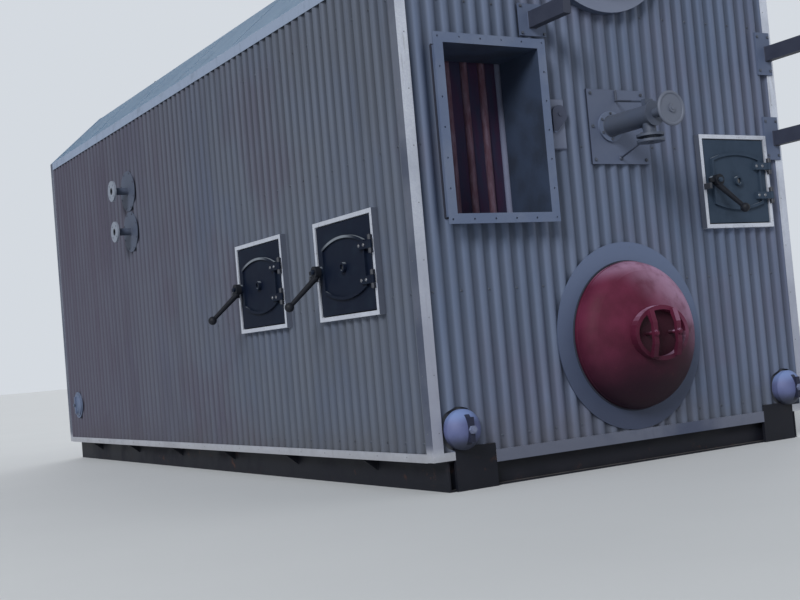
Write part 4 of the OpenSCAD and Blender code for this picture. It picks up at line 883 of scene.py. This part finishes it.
grey_paint.done(0.44 + 0.2 * clouds, brushed, 0.0005)
dress(grey_paint, "drum_rings", "flue_duct", "blower_body", "blower_wheel", "gauge_nozzles", "handholes",
    "peephole_tube", "peephole_cover", "top_nozzles")

flange_back, wall_face = -3.8265, -3.7180
rose_x, pipe_end_x = -1.6290, -1.7665
bm = bmesh.new()
bead_round(bm, (duct_x, flange_back, duct_z), 0.3690, 0.5290, 0.0050)
for z in gauge_z:
    hoop(bm, (rose_x, gauge_y, z), (-1, 0, 0), 0.0355, 0.0045, 40)
    hoop(bm, (pipe_end_x, gauge_y, z), (-1, 0, 0), 0.0350, 0.0035, 40)
hoop(bm, (blower_x, -3.7525, blower_z), (0, -1, 0), 0.0695, 0.0045, 48)
link("duct_and_pipe_welds", bm, grey_paint)

# The rope round the duct, dark as painted shade along the flange's edge.
bm = bmesh.new()
bead_round(bm, (duct_x, wall_face, duct_z), 0.3715, 0.5315, 0.0075)
link("duct_sealant", bm, sealant_and_shade)


def bolt_circle(radius, count, start=0.5):
    """The bolts' two offsets from the middle; the start is counted in bolts."""
    angles = [math.tau * (i + start) / count for i in range(count)]
    return [(radius * math.cos(angle), radius * math.sin(angle)) for angle in angles]


plate_nuts_x, plate_nuts_z = (-0.172, 0.272), (2.008, 2.230, 2.452)
inlet_y, inlet_z = -4.106, 2.107
bm = bmesh.new()
for x in plate_nuts_x:
    for z in plate_nuts_z:
        nut(bm, (x, -3.736, z), (0, -1, 0), 0.0090, 0.0080, 0.0016)
for x, z in bolt_circle(0.087, 6):
    nut(bm, (blower_x + x, -3.752, blower_z + z), (0, -1, 0), 0.0075, 0.0070, 0.0014)
for x, y in bolt_circle(0.073, 6, 0):
    nut(bm, (blower_x + x, inlet_y + y, inlet_z), (0, 0, 1), 0.0070, 0.0070, 0.0012)
for z in gauge_z:
    for y, lift in bolt_circle(0.172, 8):
        nut(bm, (-1.628, gauge_y + y, z + lift), (-1, 0, 0), 0.0055, 0.0045, 0.0012)
for side in (-1, 1):
    nut(bm, (side * 1.668, hand_y, hand_z), (side, 0, 0), 0.0180, 0.0110)
link("pipework_bolts", bm, screw_paint)

back_plate = bmesh.new()
cuboid(back_plate, (-0.507, -3.7262, 2.070), (-0.398, -3.7225, 2.400), 0.0010)
hole = bmesh.new()
bored(hole, peep_x, peep_z, 0.0310, 40)
plate_paint = Finish("back_plate_paint", Metallic=0.12)
clouds = plate_paint.noise(0.05, 5)
plate_paint.base((0.130, 0.155, 0.235), (0.165, 0.190, 0.268), clouds)
# Painted shade along the plate's lower edge.
lower_edge_shade = plate_paint.step(plate_paint.z + 0.01 * clouds, 2.092, 2.078)
plate_paint.tint((0.030, 0.040, 0.080), lower_edge_shade * 0.9)
plate_paint.done(0.45 + 0.2 * clouds, plate_paint.noise(0.005, 3), 0.0004)
link("peephole_plate", cut(back_plate, hole), plate_paint)

# ---------------------------------------------------------------------------
# Header caps: pressed domes over the ends of the side headers, in aluminium paint, each
# held by a black clamp bar and a nut.

silver_paint = Finish("silver_paint", Metallic=0.15, Specular_IOR_Level=0.3)
clouds = silver_paint.noise(0.08, 5)
silver_paint.base((0.092, 0.112, 0.245), (0.118, 0.136, 0.264), clouds)
# Painted highlight: bluer and brighter on what faces up.
silver_paint.tint((0.185, 0.262, 0.500), silver_paint.step(silver_paint.upward, 0.20, 0.80) * 0.88)
# Painted shade: darker towards the bottom.
painted_low_shade = silver_paint.step(silver_paint.z + 0.04 * clouds, 0.375, 0.290)
silver_paint.tint((0.030, 0.034, 0.044), painted_low_shade * 0.85)
bar = abs(silver_paint.y).over(3.800) * abs(silver_paint.y).under(3.8484)
across_bar = abs(abs(silver_paint.x) - header_x).under(0.0186)
silver_paint.tint((0.012, 0.014, 0.030), bar * across_bar * 0.92)
nut_face = abs(silver_paint.y).over(3.8486)
silver_paint.tint((0.180, 0.205, 0.290), nut_face * 0.7)
silver_paint.done(0.48 + 0.2 * clouds, silver_paint.noise(0.006, 3), 0.0006)
dress(silver_paint, "side_headers")

# ---------------------------------------------------------------------------
# Boiler tubes: the first rows of the bank, seen through the flue opening, with fins
# between the front ones and a baffle sheet behind. Bare steel under red shop primer that
# has gone chalky and sooty, with a bloom of rust.

primer = Finish("tube_primer", Specular_IOR_Level=0.35)
rust = primer.noise((0.03, 0.03, 0.14), 6, 0.65)
primer.base((0.115, 0.052, 0.080), (0.200, 0.140, 0.200), primer.step(rust, 0.35, 0.70))
pale = primer.x.over(-0.66, 0.01) * 0.9
primer.tint((0.230, 0.265, 0.400), pale)
primer.tint((0.060, 0.022, 0.034), primer.step(primer.noise(0.25, 4), 0.50, 0.75) * 0.6)
primer.done(0.6 + 0.25 * rust, rust, 0.0008)
dress(primer, "tube_row_1", "tube_row_2", "tube_row_3")

baffle_sheet = Finish("baffle_sheet", Specular_IOR_Level=0.3)
scale = baffle_sheet.noise((0.12, 0.12, 0.3), 6, 0.65)
baffle_sheet.base((0.150, 0.165, 0.290), (0.260, 0.240, 0.360), scale)
baffle_sheet.done(0.65 + 0.25 * scale, scale, 0.001)
bm = bmesh.new()
cuboid(bm, (-1.400, -2.7770, 0.952), (-0.520, -2.7730, 3.078), 0.0008)
link("tube_baffle", bm, baffle_sheet)

# Near-black primer for the fins: soot, and painted shade between the tubes.
soot_and_shade_primer = Finish("soot_and_shade_primer", Specular_IOR_Level=0.2)
soot = soot_and_shade_primer.noise((0.05, 0.05, 0.25), 6, 0.65)
soot_share = soot_and_shade_primer.step(soot, 0.35, 0.65)
soot_and_shade_primer.base((0.052, 0.026, 0.064), (0.034, 0.034, 0.074), soot_share)
soot_and_shade_primer.done(0.7 + 0.2 * soot, soot, 0.001)
tube_first, tube_pitch, tube_r, tube_y = -1.3100, 0.140, 0.0255, -3.3400
fin_low, fin_high, fin_grip = 1.45, 2.95, 0.002
bm = bmesh.new()
for i in range(5):
    left = tube_first + i * tube_pitch + tube_r - fin_grip
    right = tube_first + (i + 1) * tube_pitch - tube_r + fin_grip
    cuboid(bm, (left, tube_y + 0.004, fin_low), (right, tube_y + 0.009, fin_high), 0.0008)
link("tube_fins", bm, soot_and_shade_primer)

# ---------------------------------------------------------------------------
# Doors: cast iron leaves in black enamel on bright folded frames, each with a rope
# gasket, a sight glass, strap hinges and a cranked lever.

black_iron = Finish("black_iron", Specular_IOR_Level=0.12)
clouds = black_iron.noise(0.12, 6)
# The front door's black is lighter than the side doors': a painted sheen.
side_doors_without_sheen = black_iron.y.over(-3.60, 0.01)
black_iron.base((0.034, 0.053, 0.084), (0.0045, 0.0085, 0.0215), side_doors_without_sheen)
black_iron.tint((0.014, 0.024, 0.040), black_iron.step(clouds, 0.45, 0.80) * 0.5)
# Paler on what faces up above 1.3 m: dust, and a painted highlight on the arched ribs.
upward_dust_and_highlight = black_iron.step(black_iron.upward, 0.45, 0.98) * black_iron.z.over(1.30, 0.05)
black_iron.tint((0.23, 0.26, 0.30), upward_dust_and_highlight * 0.85)
for y in door_places:
    along = black_iron.y - y
    reach = (along ** 2.0 + (black_iron.z - (door_z - 0.491)) ** 2.0) ** 0.5
    # A thin pale arc across each side door's leaf: a painted highlight on the arch's crest.
    crest_highlight = abs(reach - 0.6905).under(0.0080, 0.0040) * black_iron.z.over(1.50, 0.02)
    crest_highlight = crest_highlight * black_iron.step(along, -0.20, -0.02) * black_iron.step(along, 0.31, 0.16)
    crest_highlight = crest_highlight * abs(black_iron.x).over(1.6640)
    black_iron.tint((0.200, 0.225, 0.260), crest_highlight * 0.9)
    rim = (abs(along).over(0.3712) + abs(black_iron.z - door_z).over(0.3062)).clamped()
    rim = rim * abs(along).under(0.45) * black_iron.x.over(1.60) * black_iron.x.under(1.6562)
    black_iron.tint((0.44, 0.47, 0.55), rim)
black_iron.done(0.46 + 0.25 * clouds, black_iron.noise(0.005, 4), 0.0007)
dress(black_iron, "front_door", "left_door_1", "left_door_2", "right_doors")

lever_iron = Finish("lever_iron", Specular_IOR_Level=0.18)
clouds = lever_iron.noise(0.05, 6)
lever_iron.base((0.0055, 0.0070, 0.0120), (0.018, 0.020, 0.026), clouds)
worn = lever_iron.step(lever_iron.noise(0.012, 5), 0.60, 0.72)
lever_iron.tint((0.042, 0.046, 0.056), worn * 0.35)
lever_iron.done(0.38 + 0.25 * clouds, lever_iron.noise(0.004, 4), 0.0006)
dress(lever_iron, "front_door_lever", "left_lever_1", "left_lever_2")

frame_zinc = Finish("door_frame_zinc", Metallic=0.45)
clouds = frame_zinc.noise(0.10, 6)
frame_zinc.base((0.50, 0.53, 0.62), (0.66, 0.70, 0.79), clouds)
stains = frame_zinc.step(frame_zinc.noise(0.03, 7, 0.7), 0.58, 0.70)
frame_zinc.tint((0.20, 0.19, 0.21), stains * 0.6)
# Painted shade on the frames' side faces: the front door frame's left face and the side door frames' front
# faces.
frame_side_shade = frame_zinc.x.under(0.7656, 0.0004) * frame_zinc.y.under(-3.60, 0.01)
for y in door_places:
    frame_side_shade = frame_side_shade + abs(frame_zinc.y - (y - 0.4)).under(0.0005, 0.0004)
frame_zinc.tint((0.088, 0.105, 0.150), frame_side_shade.clamped() * 0.92)
proud = frame_zinc.x.under(-1.6568, 0.0004) * frame_zinc.y.over(-3.60, 0.01)
proud = proud + frame_zinc.y.under(-3.7568, 0.0004)
frame_zinc.tint((0.012, 0.014, 0.022), proud.clamped() * 0.92)
uneven = frame_zinc.noise(0.006, 3) + 2.0 * frame_zinc.noise(0.2, 2)
frame_zinc.done(0.38 + 0.2 * clouds, uneven, 0.0006)
dress(frame_zinc, "front_door_frame", "left_door_frame_1", "left_door_frame_2")

glass = Finish("sight_glass", Coat_Weight=1.0, Coat_Roughness=0.08)
smoke = glass.noise(0.012, 4)
glass.base((0.006, 0.010, 0.016), (0.030, 0.032, 0.036), smoke)
glass.done(0.12 + 0.35 * smoke, glass.noise(0.02, 2), 0.0002)

bolt_head = [(0.0, 0.0065), (0.006, 0.0058), (0.0100, 0.0030), (0.0115, 0.0), (0.0, -0.0010)]
sight_disc = [(0.0, 0.0030), (0.0150, 0.0028), (0.0195, 0.0018), (0.0195, 0.0), (0.0, 0.0)]
gasket_in, gasket_y, hinge_in, hinge_drop = 0.050, 0.0055, 0.014, 0.225
quarter_turn = Matrix.Rotation(-math.pi / 2, 4, "Z")
front_place = Matrix.Translation((front_door_x, -half_l, front_door_z))
side_places = [Matrix.Translation((-half_w, y, door_z)) @ quarter_turn for y in door_places]
for place, wide, high, body in (
    (front_place, front_door_w, front_door_h, "front_door"),
    (side_places[0], side_door_w, side_door_h, "left_door_1"),
    (side_places[1], side_door_w, side_door_h, "left_door_2"),
):
    out = place.to_3x3() @ Vector((0, -1, 0))
    bm = bmesh.new()
    bead_round(bm, (0, gasket_y, 0), wide / 2 - gasket_in, high / 2 - gasket_in, 0.0060, place)
    link(body + "_gasket", bm, sealant_and_shade, body)
    bm = bmesh.new()
    for z in (hinge_drop - high / 2, high / 2 - hinge_drop):
        for step in (0.075, 0.135):
            bolt = place @ Vector((wide / 2 - hinge_in - step, -0.0560, z))
            turned(bm, bolt, out, bolt_head, 16)
    link(body + "_bolts", bm, plated, body)
    bm = bmesh.new()
    turned(bm, place @ Vector((0, -0.0415, 0)), out, sight_disc, 32)
    link(body + "_glass", bm, glass, body)

# ---------------------------------------------------------------------------
# Platform brackets and lifting lugs: box beams on bolted plates, and lug plates welded
# to pads on the roof. Dark paint on the beams; the brackets' plates match the sheets.

bracket_paint = Finish("bracket_paint", Specular_IOR_Level=0.3)
clouds = bracket_paint.noise(0.12, 5)
bracket_paint.base((0.026, 0.031, 0.054), (0.048, 0.056, 0.086), clouds)
plates = bracket_paint.y.under(-3.70) * bracket_paint.y.over(-3.7376)
bracket_paint.tint((0.092, 0.120, 0.196), plates)
lug_black = bracket_paint.z.over(3.70, 0.01)
bracket_paint.tint((0.022, 0.023, 0.028), lug_black)
# Dust and a painted highlight on what faces up; grime and painted shade on what faces down.
bracket_paint.weather((0.11, 0.12, 0.15), 0.35, (0.015, 0.017, 0.026), 0.6)
rust = bracket_paint.step(bracket_paint.noise(0.03, 7, 0.7), 0.64, 0.72)
bracket_paint.tint((0.10, 0.045, 0.030), rust * 0.5)
bracket_paint.done(0.45 + 0.2 * clouds, bracket_paint.noise(0.005, 3), 0.0005)
dress(bracket_paint, "platform_brackets", "lifting_lugs")

bracket_weld, beam_x, beam_z = 0.0050, 0.030, 0.0525
upper_x, upper_z, upper_face = -0.595, 2.910, -3.734
corner_x, corner_z, corner_face = 1.568, (2.180, 2.805), -3.737
lug_x, lug_half, lug_pad_z, lug_weld_y = 0.8115, 0.0125, 3.8345, 0.058
bm = bmesh.new()
bead_round(bm, (upper_x, upper_face, upper_z), beam_x, beam_z, bracket_weld)
for z in corner_z:
    bead_round(bm, (corner_x, corner_face, z), beam_x, beam_z, bracket_weld)
for side in (-1, 1):
    for end in (-1, 1):
        for edge in (-lug_half, lug_half):
            x = side * lug_x + edge
            near, far = (end * lug_y + reach for reach in (-lug_weld_y, lug_weld_y))
            bead(bm, (x, near, lug_pad_z), (x, far, lug_pad_z), bracket_weld)
link("bracket_and_lug_welds", bm, bracket_paint)

nut_places = [(x, upper_face, z) for x in (-0.683, -0.507) for z in (2.822, 2.998)]
for z in (level + lift for level in corner_z for lift in (-0.125, 0.125)):
    nut_places += [(1.472, corner_face, z), (1.578, corner_face, z)]
bm = bmesh.new()
for place in nut_places:
    nut(bm, place, (0, -1, 0), 0.0080, 0.0075, 0.0016)
link("bracket_bolts", bm, screw_paint)
